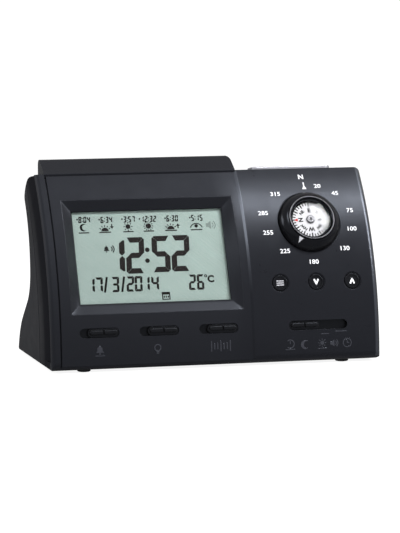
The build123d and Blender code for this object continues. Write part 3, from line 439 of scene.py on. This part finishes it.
def graded_gloss(look, gloss, dull, bright):
    """Less gloss in the hollow behind the left strip, and more on the crease and the right edge.

    The small numbers added to the zones are the widths of their soft edges."""
    parts = look.add("ShaderNodeSeparateXYZ")
    look.join(look.place, parts.inputs["Vector"])
    upright = look.add("ShaderNodeCombineXYZ")
    look.join(parts.outputs["Y"], upright.inputs["Y"])
    look.join(parts.outputs["Z"], upright.inputs["Z"])
    reach = look.add("ShaderNodeVectorMath", operation="DISTANCE")
    look.join(upright.outputs["Vector"], reach.inputs[0])
    reach.inputs[1].default_value = (0.0, ARC_CENTRE[0] * MM, ARC_CENTRE[1] * MM)
    across, away = parts.outputs["X"], reach.outputs["Value"]

    def zone(value, low, high, start, end):
        return look.spread(value, low, high, start * MM, end * MM)

    seam, hollow, rim, edge = (PANEL_RADIUS - depth for depth in HOLLOW_DEPTHS)
    hollow_mask = product(look, zone(away, SEAM_SHARE, 1.0, seam, hollow), zone(away, 1.0, 0.0, rim, edge),
                          zone(across, 1.0, 0.0, SIDE_ZONE - 0.5, SIDE_ZONE))
    foot, head = CREASE - CREASE_WIDTH - WIDTH / 2, CREASE - WIDTH / 2
    inner, outer = (PANEL_RADIUS - depth for depth in FRONT_DEPTHS)
    front = zone(away, 0.0, 1.0, inner, outer)
    crease_mask = product(look, zone(across, 0.0, 1.0, foot - 0.1, foot + 0.1),
                          zone(across, 1.0, 0.0, head, head + 0.3), front,
                          zone(parts.outputs["Z"], 0.0, 1.0, *CREASE_FADE))
    start, end = RIGHT_BAND
    right_mask = product(look, zone(across, 0.0, 1.0, start - 0.3, start),
                         zone(across, 1.0, 0.0, end, end + 0.4), front)
    level = look.spread(hollow_mask, gloss, dull, 0.0, 1.0)
    for mask in (crease_mask, right_mask):
        total = look.add("ShaderNodeMath", operation="ADD")
        look.join(level, total.inputs[0])
        look.join(look.spread(mask, 0.0, bright, 0.0, 1.0), total.inputs[1])
        level = total.outputs[0]
    look.join(level, look.shader.inputs["Specular IOR Level"])


def glossy(name, shade, roughness, edge=0.12):
    """Polished plastic with faint handling marks."""
    look = Look(name, Specular_IOR_Level=0.12, Specular_Tint=SHEEN)
    rounded = look.soft_edges(edge)
    marks = look.noise(2.4, 5.0, 0.65)
    look.rough(look.spread(marks, roughness, roughness + 0.07))
    pale = tuple(v * 1.5 + 0.002 for v in shade[:3]) + (1.0,)
    look.colour(look.blend(look.spread(look.noise(14.0), 0.0, 1.0), shade, pale))
    look.bump(look.noise(5.5, 2.0), 0.12, 0.01, rounded)
    return look.material


def ink(name, shade, roughness=0.5):
    """Pad-printed ink: nearly even, with a slightly mottled edge and sheen."""
    look = Look(name, Roughness=roughness, Specular_IOR_Level=0.1)
    thin = tuple(v * 0.86 for v in shade[:3]) + (1.0,)
    look.colour(look.blend(look.spread(look.noise(0.5, 3.0), 0.0, 1.0), thin, shade))
    look.bump(look.noise(0.2, 2.0), 0.2, 0.004)
    return look.material


def metal(name, shade, roughness, grain=(1.0, 1.0, 1.0)):
    """Plated metal, brushed where the grain is stretched."""
    look = Look(name, Metallic=1.0)
    stretch = look.add("ShaderNodeMapping")
    look.join(look.place, stretch.inputs["Vector"])
    stretch.inputs["Scale"].default_value = grain
    fine = look.add("ShaderNodeTexNoise")
    look.set(fine, Scale=1800.0, Detail=3.0)
    look.join(stretch.outputs["Vector"], fine.inputs["Vector"])
    look.rough(look.spread(fine.outputs["Fac"], roughness - 0.06, roughness + 0.1))
    dull = tuple(v * 0.88 for v in shade[:3]) + (1.0,)
    look.colour(look.blend(look.spread(look.noise(6.0), 0.0, 1.0), dull, shade))
    look.bump(fine.outputs["Fac"], 0.15, 0.01)
    return look.material


def display_green():
    """The reflective cell: an even sage green with a faint cloud and a fine matt grain."""
    look = Look("display_green", Roughness=0.42, Specular_IOR_Level=0.1)
    first, second = linear(166, 185, 179), linear(171, 190, 184)
    look.colour(look.blend(look.spread(look.noise(16.0, 2.0), 0.0, 1.0), first, second))
    look.bump(look.noise(0.12, 2.0), 0.1, 0.002)
    return look.material


def clear(name, alpha, gloss, roughness):
    """Clear polished plastic: nearly see-through, with the lamps' reflections on it."""
    look = Look(name, Alpha=alpha, Specular_IOR_Level=gloss)
    look.colour(look.blend(look.noise(6.0), (0.01, 0.011, 0.011, 1.0), (0.02, 0.022, 0.022, 1.0)))
    look.rough(look.spread(look.noise(25.0, 1.0), roughness, roughness + 0.004))
    return look.material


def board(name):
    """Solder mask over copper tracks."""
    look = Look(name, Roughness=0.35)
    tracks = look.add("ShaderNodeTexVoronoi", feature="DISTANCE_TO_EDGE")
    look.set(tracks, Scale=320.0)
    look.join(look.place, tracks.inputs["Vector"])
    line = look.spread(tracks.outputs["Distance"], 1.0, 0.0, 0.02, 0.05)
    look.colour(look.blend(line, (0.012, 0.09, 0.03, 1.0), (0.03, 0.2, 0.07, 1.0)))
    look.bump(line, 0.3, 0.03)
    return look.material


BLACK = (0.0052, 0.0053, 0.0069, 1.0)
CASE = moulded("case_black", BLACK, 0.58, polish=0.29, gloss=0.16, dull=0.01, bright=0.5)
REAR = moulded("rear_black", BLACK, 0.6, gloss=0.1)
BEZEL = moulded("bezel_black", BLACK, 0.33, edge=0.8, gloss=0.2)
BAR = moulded("bar_black", BLACK, 0.45, gloss=0.12)
KNOB = moulded("knob_black", (0.004, 0.004, 0.0045, 1.0), 0.3, edge=0.25, gloss=0.12)
# the raised signs are the case's own plastic, painted about three times lighter as a painted highlight of
# the light their edges catch; their gloss is real
RELIEF_PAINTED_HIGHLIGHT = moulded("relief_black", (0.016, 0.016, 0.02, 1.0), 0.26, edge=0.15, gloss=0.5)
GLOSS = glossy("gloss_black", (0.002, 0.002, 0.0025, 1.0), 0.14)
DISPLAY = display_green()
LENS = clear("display_lens", 0.04, 0.3, 0.12)
CAPSULE = clear("capsule_lens", 0.06, 1.0, 0.02)
SEGMENT = ink("segment_black", linear(14, 9, 8), 0.45)
SEGMENT_FAINT = ink("segment_faint", linear(108, 120, 116), 0.45)
WHITE_INK = ink("white_ink", linear(235, 236, 240), 0.5)
GREY_INK = ink("grey_ink", linear(178, 178, 184), 0.5)
CARD = ink("card_white", linear(208, 208, 212), 0.45)
CARD_BLACK = ink("card_black", linear(14, 14, 16), 0.45)
CARD_RED = ink("card_red", linear(190, 50, 48), 0.45)
SILVER = metal("silver_plate", (0.33, 0.33, 0.36, 1.0), 0.4, (1.0, 8.0, 8.0))
BOSS = metal("boss", (0.16, 0.16, 0.17, 1.0), 0.35)
# painted highlight: a grey metal ring laid on the black ring's rim edge, standing in for the light the rim
# catches
RIM_HIGHLIGHT = metal("ring_edge", (0.11, 0.11, 0.12, 1.0), 0.3)
STEEL = metal("steel", (0.56, 0.56, 0.57, 1.0), 0.3)
BRASS = metal("brass", (0.7, 0.52, 0.25, 1.0), 0.28)
RUBBER = moulded("rubber_black", (0.012, 0.012, 0.012, 1.0), 0.75, grain=0.2, gloss=0.3)
WHITE_PLASTIC = moulded("white_plastic", linear(225, 225, 220), 0.5)
CHIP = moulded("chip_black", (0.012, 0.012, 0.012, 1.0), 0.5)
STRIP_GREY = moulded("elastomer", (0.06, 0.06, 0.065, 1.0), 0.7)
JACKET = glossy("cell_jacket", (0.02, 0.09, 0.03, 1.0), 0.25)
BOARD = board("board_green")

NODE_LOOKS = {
    CASE: ["front_case"],
    REAR: ["rear_case", "battery_door"],
    BEZEL: ["lcd_bezel"],
    BAR: ["snooze_bar"],
    KNOB: ["slide_knob_1", "slide_knob_2", "slide_knob_3", "function_knob"],
    GLOSS: ["compass_ring", "compass_cup", "button_set", "button_down", "button_up"],
    DISPLAY: ["lcd_glass"],
    LENS: ["lcd_lens"],
    CAPSULE: ["compass_lens"],
    WHITE_PLASTIC: ["light_guide", "backlight_leds", "display_frame"],
    STRIP_GREY: ["contact_strips", "speaker_gasket"],
    BOARD: ["main_board", "button_board", "switch_board"],
    CHIP: ["board_chips", "temperature_sensor", "tact_switches", "snooze_switch"],
    CARD: ["compass_card"],
    STEEL: ["compass_magnet", "slide_switches", "snooze_springs", "loudspeaker", "battery_contacts",
            "battery_springs", "case_screws", "board_screws"],
    BRASS: ["compass_pivot"],
    SILVER: ["speaker_grille"],
    JACKET: ["battery_cells"],
    RUBBER: ["feet"],
}


def dress_nodes():
    for material, nodes in NODE_LOOKS.items():
        for node in nodes:
            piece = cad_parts[node]
            piece.data.materials.clear()
            piece.data.materials.append(material)


# ---------------------------------------------------------------- display content

DIGIT_SLOPE = 0.065                 # sideways lean of the figures
PRINT_LEVEL = -LENS_THICK + 0.02    # behind the window, on the glass
PRINT_THICK = 0.02


def display_piece(name, shapes, material=SEGMENT):
    where = display_spot()
    return thin_piece(name, shapes, where, "case", material, PRINT_LEVEL, PRINT_THICK)


def digit_row(digits, size, y):
    """Slanted figures of one size, each at its own place in a row."""
    shapes = []
    for digit, x in digits:
        shapes += moved(slanted(seven_segments(digit, *size), DIGIT_SLOPE), x, y)
    return shapes


def time_figures():
    """The time in large figures."""
    size = (9.95, 20.0, 2.95)
    for name, digit, x, y in (("hour_tens", "1", -18.9, 0.98), ("hour", "2", -8.3, 1.0),
                              ("minute_tens", "5", 5.8, 1.35), ("minute", "2", 16.4, 1.45)):
        display_piece("display_" + name, digit_row([(digit, x)], size, y))
    display_piece("display_colon", disc(-1.47, 3.87, 1.27) + disc(-1.99, -2.1, 1.27))


def date_figures():
    """Day, month and year, then the temperature, in middle-sized figures."""
    day = (("1", -33.8), ("7", -29.45))
    month = (("3", -20.65),)
    year = (("2", -12.55), ("0", -8.1), ("1", -4.15), ("4", 0.85))
    shapes = digit_row(day + month + year, (4.2, 8.4, 1.3), -14.6)
    for x in (-25.75, -16.45):
        shapes += bar(x - 0.9, -18.8, x + 0.9, -10.4, 1.15)
    display_piece("display_date", shapes)
    display_piece("display_temperature", digit_row((("2", 21.1), ("6", 25.55)), (3.9, 8.5, 1.25), -14.8))
    degree = arc_band(28.7, -11.5, 0.32, 0.85, 0, 360, 16)
    display_piece("display_unit", degree + moved(letters("C", 4.1, 0.05), 31.3, -13.2))


def small_times():
    """Six small times along the top."""
    rows = (("804", -33.8, 21.4), ("634", -21.9, 21.06), ("357", -9.6, 21.0), ("1232", 0.95, 20.9),
            ("630", 13.9, 20.83), ("515", 27.4, 20.78))
    pitch = 2.05
    shapes = []
    for digits, x, y in rows:
        start = x - (len(digits) - 1) * pitch / 2 - 0.3
        for k, digit in enumerate(digits):
            gap = 0.6 if k >= len(digits) - 2 else 0.0
            figure = slanted(seven_segments(digit, 1.7, 3.5, 0.66, 0.0), DIGIT_SLOPE * 1.5)
            shapes += moved(figure, start + k * pitch + gap, y)
        colon = start + (len(digits) - 2) * pitch - 0.72
        shapes += disc(colon + 0.1, y + 0.7, 0.3, 8)
        shapes += disc(colon, y - 0.7, 0.3, 8)
        shapes += disc(start - 1.5, y + 0.2, 0.5, 8)
    display_piece("display_small_times", shapes)


def sun(x, y, radius, rays, start=0.0, sweep=360.0):
    """Sun disc with rays over part of the circle."""
    shapes = disc(x, y, radius, 16)
    for k in range(rays):
        heading = math.radians(start + sweep * k / (rays if sweep == 360.0 else rays - 1))
        dx, dy = math.sin(heading), math.cos(heading)
        inner, outer = radius + 0.35, radius + 1.15
        shapes += bar(x + dx * inner, y + dy * inner, x + dx * outer, y + dy * outer, 0.5)
    return shapes


def half_sun(x, y, radius, rays):
    """Sun half over the horizon."""
    steps = 10
    turn = math.pi / steps
    dome = [(x + radius * math.cos(turn * k), y + radius * math.sin(turn * k)) for k in range(steps + 1)]
    shapes = [dome] + bar(x - 3.2, y - 0.6, x + 3.2, y - 0.6, 0.65)
    for k in range(rays):
        heading = math.radians(-60 + 120 * k / (rays - 1))
        dx, dy = math.sin(heading), math.cos(heading)
        inner, outer = radius + 0.4, radius + 1.3
        shapes += bar(x + dx * inner, y + dy * inner, x + dx * outer, y + dy * outer, 0.55)
    return shapes


def crescent(x, y, radius):
    """Moon, open to the right."""
    steps = 14
    outer, inner = [], []
    for k in range(steps + 1):
        a = math.radians(50 + 260 * k / steps)
        outer.append((x + radius * math.cos(a), y + radius * math.sin(a)))
    for k in range(steps + 1):
        a = math.radians(305 - 250 * k / steps)
        inner.append((x + 0.42 * radius + 0.78 * radius * math.cos(a), y + 0.78 * radius * math.sin(a)))
    shapes = []
    for k in range(steps):
        shapes.append([outer[k], outer[k + 1], inner[steps - k - 1], inner[steps - k]])
    return shapes


def arrow(x, y, size, up):
    way = 1 if up else -1
    head = [(x - size, y), (x + size, y), (x, y + way * size * 1.3)]
    return [head if up else head[::-1]] + bar(x, y, x, y - way * size * 1.2, size * 0.6)


def day_signs():
    """A small sign of the sun's place under each time, in place of words."""
    ground = 14.2
    shapes = crescent(-34.6, 17.1, 2.1)
    shapes += half_sun(-23.2, ground + 0.6, 2.0, 5) + arrow(-19.3, 17.4, 1.1, False)
    shapes += sun(-10.6, 17.0, 1.35, 8)
    shapes += sun(0.5, 17.0, 1.5, 12)
    shapes += half_sun(12.6, ground + 0.6, 2.0, 5) + arrow(16.6, 16.6, 1.1, True)
    shapes += bar(23.4, ground, 29.8, ground, 0.65) + disc(26.6, 16.3, 1.0, 12)
    shapes += arc_band(26.6, ground, 3.2, 3.75, -70, 70, 10)
    for x in (-34.6, -10.6, 0.5):
        shapes += bar(x - 2.8, ground, x + 2.8, ground, 0.65)
    display_piece("display_day_signs", shapes)


def bell(x, y, size):
    """Bell with its clapper."""
    steps = 8
    turn = math.pi / steps
    dome = [(-0.62, -0.1), (-0.62, 0.1)]
    dome += [(-0.62 * math.cos(turn * k), 0.25 + 0.7 * math.sin(turn * k)) for k in range(1, steps)]
    dome += [(0.62, 0.1), (0.62, -0.1), (0.95, -0.5), (-0.95, -0.5)]
    shapes = [dome[::-1]] + disc(0, -0.78, 0.22, 8) + disc(0, 1.05, 0.16, 8)
    return moved(shapes, x, y, size)


def sound(x, y, size, stroke):
    """Loudspeaker with two waves."""
    cone = [(-1.4, -0.55), (-0.8, -0.55), (0.1, -1.25), (0.1, 1.25), (-0.8, 0.55), (-1.4, 0.55)]
    shapes = moved([cone], x, y, size)
    for radius in (0.75, 1.35):
        shapes += arc_band(x - 0.1 * size, y, radius * size, radius * size + stroke, 40, 140, 8)
    return shapes


def display_signs():
    """Alarm sign left of the time, sound sign at the top right, and a day sign below the date."""
    shapes = bell(-23.5, 4.75, 1.75)
    for radius in (1.3, 2.35):
        shapes += arc_band(-22.0, 4.9, radius, radius + 0.6, 45, 135, 8)
    display_piece("display_alarm_sign", shapes)
    display_piece("display_sound_sign", sound(34.5, 16.6, 1.85, 0.5), SEGMENT_FAINT)
    left, right, foot, head = 3.8, 8.3, -23.6, -20.3
    shapes = bar(left, foot, right, foot, 0.55) + bar(left, head, right, head, 1.5)
    for x in (left + 0.3, right - 0.3):
        shapes += bar(x, foot + 0.28, x, head - 0.75, 0.6)
    for k in range(3):
        shapes += box_shape(left + 1.2 + k * 1.1, -22.2, 0.7, 1.1)
    display_piece("display_day_box", shapes)


# ---------------------------------------------------------------- print round the compass

# a plain bearing in degrees, its distance from the left side, and along the panel
BEARINGS = (
    ("20", 153.1, 97.1), ("45", 162.1, 92.4), ("75", 168.7, 81.8), ("100", 168.4, 71.1),
    ("130", 163.0, 60.2), ("180", 145.0, 53.3), ("225", 129.5, 59.6), ("255", 121.4, 70.2),
    ("285", 120.2, 81.5), ("315", 128.8, 92.8),
)


def compass_print():
    """North letter, north mark and plain bearings round the ring."""
    for number, left, s in BEARINGS:
        shapes = letters(number, 2.4, 0.008, 1.15)
        thin_piece("bearing_" + number, shapes, panel_spot(left, s), "case", WHITE_INK)
    shapes = letters("N", 2.9, 0.02)
    thin_piece("north_letter", shapes, panel_spot(144.9, 103.2), "case", WHITE_INK)
    mark = bar(0, -0.6, 0, 2.1, 0.55) + [[(-1.15, -2.1), (1.15, -2.1), (0.45, -0.6), (-0.45, -0.6)]]
    thin_piece("north_mark", mark, panel_spot(145.6, 97.5), "case", WHITE_INK)


def ring_print():
    """Pointer on the turning ring's skirt."""
    where = tangent_spot(*COMPASS_AT, COMPASS_TURN)

    def on_skirt(x, y, z):
        reach = math.hypot(x, y) - SKIRT_CENTRE[0]
        return where(x, y, SKIRT_CENTRE[1] + math.sqrt(SKIRT_RADIUS ** 2 - reach ** 2) + z)

    base, tip, half, slices = 12.95, 15.8, 1.25, 4
    pointer = []
    for k in range(slices):
        near, far = k / slices, (k + 1) / slices
        low, high = base + (tip - base) * near, base + (tip - base) * far
        wide, narrow = half * (1 - near), half * (1 - far)
        far_edge = [(narrow, high), (-narrow, high)] if narrow else [(0, high)]
        pointer.append([(-wide, low), (wide, low)] + far_edge)
    thin_piece("ring_pointer", pointer, on_skirt, "compass_ring", GREY_INK)


def card_print():
    """Graduations, letters and the red north mark on the card."""
    where = tangent_spot(*COMPASS_AT)
    heading = 270.0
    ticks = []
    for k in range(36):
        width, length = (0.75, 2.2) if k % 3 == 0 else (0.62, 1.6)
        ticks += turned(box_shape(0, CARD_RADIUS - length / 2, width, length), k * 10.0)
    level = CARD_LEVEL + 0.01
    thin_piece("card_ticks", ticks, where, "compass_card", CARD_BLACK, level, PRINT_THICK)
    names = []
    for k, name in enumerate(("N", "NE", "E", "SE", "S", "SW", "W", "NW")):
        size, reach = (2.5, 5.4) if len(name) == 1 else (1.8, 6.0)
        names += turned(moved(letters(name, size, 0.05), 0, reach), heading + 45.0 * k)
    thin_piece("card_letters", names, where, "compass_card", CARD_BLACK, level, PRINT_THICK)
    red = turned([[(-0.9, 7.0), (0.9, 7.0), (0, 9.3)]], heading)
    level = CARD_LEVEL + 0.035
    thin_piece("card_north_mark", red, where, "compass_card", CARD_RED, level, PRINT_THICK)


def button_signs():
    """Chevrons on the down and up buttons, and three lines on the set button."""
    chevron = bar(-1.15, 1.5, 0.1, -1.3, 0.85) + bar(1.15, 1.5, -0.1, -1.3, 0.85)
    lines = bar(-2.0, 1.1, 2.0, 1.1, 0.5) + bar(-2.0, 0.0, 2.0, 0.0, 0.5) + bar(-2.0, -1.1, 2.0, -1.1, 0.5)
    signs = {
        "button_set": (lines, GREY_INK),
        "button_down": (chevron, WHITE_INK),
        "button_up": (turned(chevron, 180.0), WHITE_INK),
    }
    for name, (shapes, material) in signs.items():
        where = tangent_spot(BUTTON_XS[name], BUTTON_S)
        thin_piece(name + "_sign", shapes, where, name, material, BUTTON_FACE + 0.01)


def button_rims():
    """Low rounded rim round each button's dished face."""
    profile = ((3.0, -0.05), (3.35, 0.12), (3.6, 0.24), (3.8, 0.24), (3.95, 0.12), (3.98, -0.05))
    for name, left in BUTTON_XS.items():
        where = tangent_spot(left, BUTTON_S)
        turned_ring(name + "_rim", profile, where, name, GLOSS, BUTTON_FACE)


def relief_signs():
    """Small raised signs below the slots, each by its place from the left and along the panel."""
    bars = [box_shape(-5.1 + k * 1.7, 0, 0.6, 5.6 if k % 3 == 0 else 3.4)[0] for k in range(7)]
    marks = {
        "relief_bell": (25.8, 10.2, bell(0, 0.1, 2.3) + bar(-2.6, -2.7, 2.6, -2.7, 0.45)),
        "relief_lamp": (56.9, 10.2, arc_band(0, 0.5, 1.4, 1.95, 0, 360, 20) + bar(-0.8, -1.7, 0.8, -1.7, 0.5)
                        + bar(-0.6, -2.4, 0.6, -2.4, 0.5)),
        "relief_bars": (91.1, 10.2, bars),
        "relief_hand": (129.0, 9.8, arc_band(0, 0, 1.9, 2.45, -40, 220, 16) + bar(0, 0, 0, 1.5, 0.5)
                        + bar(-2.6, -2.9, 2.6, -2.9, 0.45)),
        "relief_moon": (137.3, 9.2, crescent(0, 0, 2.4)),
        "relief_sun": (146.7, 9.8, sun(0, 0, 1.1, 8) + bar(-2.6, -2.9, 2.6, -2.9, 0.45)),
        "relief_sound": (153.3, 9.5, sound(0, 0, 1.5, 0.5)),
        "relief_clock": (160.6, 9.4, arc_band(0, 0, 2.0, 2.5, 0, 360, 20) + bar(0, -0.1, 0, 1.4, 0.5)
                         + bar(0, 0, 1.1, 0, 0.5)),
        "relief_leader": (153.0, 15.1, bar(-7.0, -0.5, -2.5, -0.5, 0.45) + bar(1.0, 0.6, 7.4, 0.6, 0.45)),
    }
    for name, (left, s, shapes) in marks.items():
        where = panel_spot(left, s)
        # the signs carry a painted highlight: a lighter black than the case around them
        thin_piece(name, shapes, where, "case", RELIEF_PAINTED_HIGHLIGHT, RELIEF_LIFT, RELIEF_THICK)


def turned_ring(name, profile, where, body, material, lift, steps=64):
    """Ring turned from an open profile of radii and heights, closed underneath."""
    work = bmesh.new()
    rows = []
    for radius, height in profile:
        row = []
        for k in range(steps):
            turn = 2 * math.pi * k / steps
            spot = where(radius * math.cos(turn), radius * math.sin(turn), lift + height)
            row.append(work.verts.new(spot))
        rows.append(row)
    for low, high in zip(rows, rows[1:] + rows[:1]):
        for k in range(steps):
            n = (k + 1) % steps
            work.faces.new((low[k], low[n], high[n], high[k]))
    bmesh.ops.recalc_face_normals(work, faces=work.faces)
    mesh = bpy.data.meshes.new(name)
    work.to_mesh(mesh)
    work.free()
    mesh.materials.append(material)
    mesh.shade_smooth()
    piece = bpy.data.objects.new(name, mesh)
    bpy.context.scene.collection.objects.link(piece)
    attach(piece, body)
    return piece


def compass_trim():
    """Metal boss over the card's pivot, and a grey metal ring along the rim's edge, a painted highlight of
    the light the black rim catches.
    """
    where = tangent_spot(*COMPASS_AT)
    boss = ((0.02, 0.5), (1.3, 0.58), (2.1, 0.5), (2.32, 0.28), (2.32, 0.0), (0.02, 0.0))
    turned_ring("card_boss", boss, where, "compass_card", BOSS, HUB_TOP - 0.22, 40)
    # painted highlight along the rim's edge, in place of the light the black rim catches
    edge = []
    for k in range(8):
        turn = math.radians(45 * k)
        edge.append((RING_RIM_RADIUS - 0.3 + 0.24 * math.cos(turn), 0.2 * math.sin(turn)))
    turned_ring("ring_edge", edge, where, "compass_ring", RIM_HIGHLIGHT, RING_HEIGHT - 0.03, 96)


# ---------------------------------------------------------------- light, floor and camera

def area_light(name, place, aim, width, height, power, roll=0.0):
    """Rectangular lamp: its sides in metres, its power in watts, and a roll in degrees."""
    data = bpy.data.lights.new(name, "AREA")
    data.shape = "RECTANGLE"
    data.size = width
    data.size_y = height
    data.energy = power
    light = bpy.data.objects.new(name, data)
    light.location = place
    light.rotation_mode = "QUATERNION"
    facing = (Vector(aim) - Vector(place)).to_track_quat("-Z", "Y")
    light.rotation_quaternion = facing @ Quaternion((0, 0, 1), math.radians(roll))
    bpy.context.scene.collection.objects.link(light)
    return light


def toward(azimuth, elevation, distance, origin):
    """Place at a heading right of the front, an elevation and a distance from a point."""
    a, e = math.radians(azimuth), math.radians(elevation)
    way = Vector((math.sin(a) * math.cos(e), -math.cos(a) * math.cos(e), math.sin(e)))
    return Vector(origin) + way * distance


def make_lights():
    """A narrow key over the compass side, two strips along the crease and the right edge,
    and soft lamps at the left and the top."""
    key = toward(35, 57.3, 0.62, COMPASS_SIDE)
    area_light("key", key, (key.x, COMPASS_SIDE[1], COMPASS_SIDE[2]), 0.30, 0.09, 3.6)
    area_light("left", toward(-100, 22, 1.0, CLOCK_MIDDLE), CLOCK_MIDDLE, 0.5, 0.35, 4.8)
    area_light("crease", toward(-41, 49, 0.9, CREASE_HEAD), CREASE_HEAD, 0.09, 0.3, 2.0, roll=26.0)
    area_light("top", TOP_AT, CLOCK_MIDDLE, 0.5, 0.5, 0.5)
    area_light("right", toward(57, 38, 0.6, RIGHT_EDGE), RIGHT_EDGE, 0.13, 0.32, 2.9, roll=-40.0)
    area_light("window", WINDOW_AT, COMPASS_LENS_AT, 0.0065, 0.032, 0.032, roll=15.0)


def background_rays(nodes, links):
    """1 for rays that show the background: to the camera, in gloss, and through clear parts."""
    path = nodes.new("ShaderNodeLightPath")
    total = path.outputs["Is Camera Ray"]
    for name in ("Is Glossy Ray", "Is Transmission Ray"):
        add = nodes.new("ShaderNodeMath")
        add.operation = "ADD"
        add.use_clamp = True
        links.new(total, add.inputs[0])
        links.new(path.outputs[name], add.inputs[1])
        total = add.outputs[0]
    return total


def make_floor():
    """Pale floor. To the camera most of it is even white, and the rest carries the shadow."""
    mesh = bpy.data.meshes.new("floor")
    r = FLOOR_REACH
    mesh.from_pydata([(-r, -r, 0), (r, -r, 0), (r, r, 0), (-r, r, 0)], [], [(0, 1, 2, 3)])
    look = Look("floor_white", Roughness=0.9)
    look.set(look.shader, Base_Color=(FLOOR_SHADE, FLOOR_SHADE, FLOOR_SHADE, 1.0), Specular_IOR_Level=0.0)
    glow = look.add("ShaderNodeEmission")
    path = look.add("ShaderNodeLightPath")
    look.join(look.spread(path.outputs["Is Camera Ray"], *FLOOR_GLOW, 0.0, 1.0), glow.inputs["Strength"])
    mix = look.add("ShaderNodeMixShader")
    share = look.add("ShaderNodeMath", operation="MULTIPLY")
    share.inputs[1].default_value = FLOOR_EVEN
    look.join(background_rays(look.tree.nodes, look.tree.links), share.inputs[0])
    look.join(share.outputs[0], mix.inputs["Fac"])
    look.join(look.shader.outputs["BSDF"], mix.inputs[1])
    look.join(glow.outputs["Emission"], mix.inputs[2])
    look.join(mix.outputs["Shader"], look.tree.nodes["Material Output"].inputs["Surface"])
    mesh.materials.append(look.material)
    floor = bpy.data.objects.new("floor", mesh)
    bpy.context.scene.collection.objects.link(floor)


def make_world():
    """White behind the object, and a soft sky that lights it."""
    world = bpy.data.worlds.new("world")
    world.use_nodes = True
    tree = world.node_tree
    nodes, links = tree.nodes, tree.links
    background = nodes["Background"]
    background.inputs["Color"].default_value = (1.0, 1.0, 1.0, 1.0)
    strength = nodes.new("ShaderNodeMapRange")
    links.new(background_rays(nodes, links), strength.inputs["Value"])
    strength.inputs["To Min"].default_value = SKY
    strength.inputs["To Max"].default_value = 1.0
    links.new(strength.outputs["Result"], background.inputs["Strength"])
    bpy.context.scene.world = world


def make_camera():
    data = bpy.data.cameras.new("camera")
    data.sensor_width = SENSOR
    data.lens = FOCAL_PIXELS * SENSOR / FRAME_HEIGHT
    data.clip_end = CAMERA_REACH
    camera = bpy.data.objects.new("camera", data)
    camera.location = CAMERA_AT
    camera.rotation_mode = "QUATERNION"
    camera.rotation_quaternion = CAMERA_AIM.to_track_quat("-Z", "Y")
    bpy.context.scene.collection.objects.link(camera)
    bpy.context.scene.camera = camera


bpy.context.scene.view_settings.view_transform = "Standard"
dress_nodes()
time_figures()
date_figures()
small_times()
day_signs()
display_signs()
compass_print()
ring_print()
card_print()
compass_trim()
button_signs()
button_rims()
relief_signs()
make_lights()
make_floor()
make_world()
make_camera()
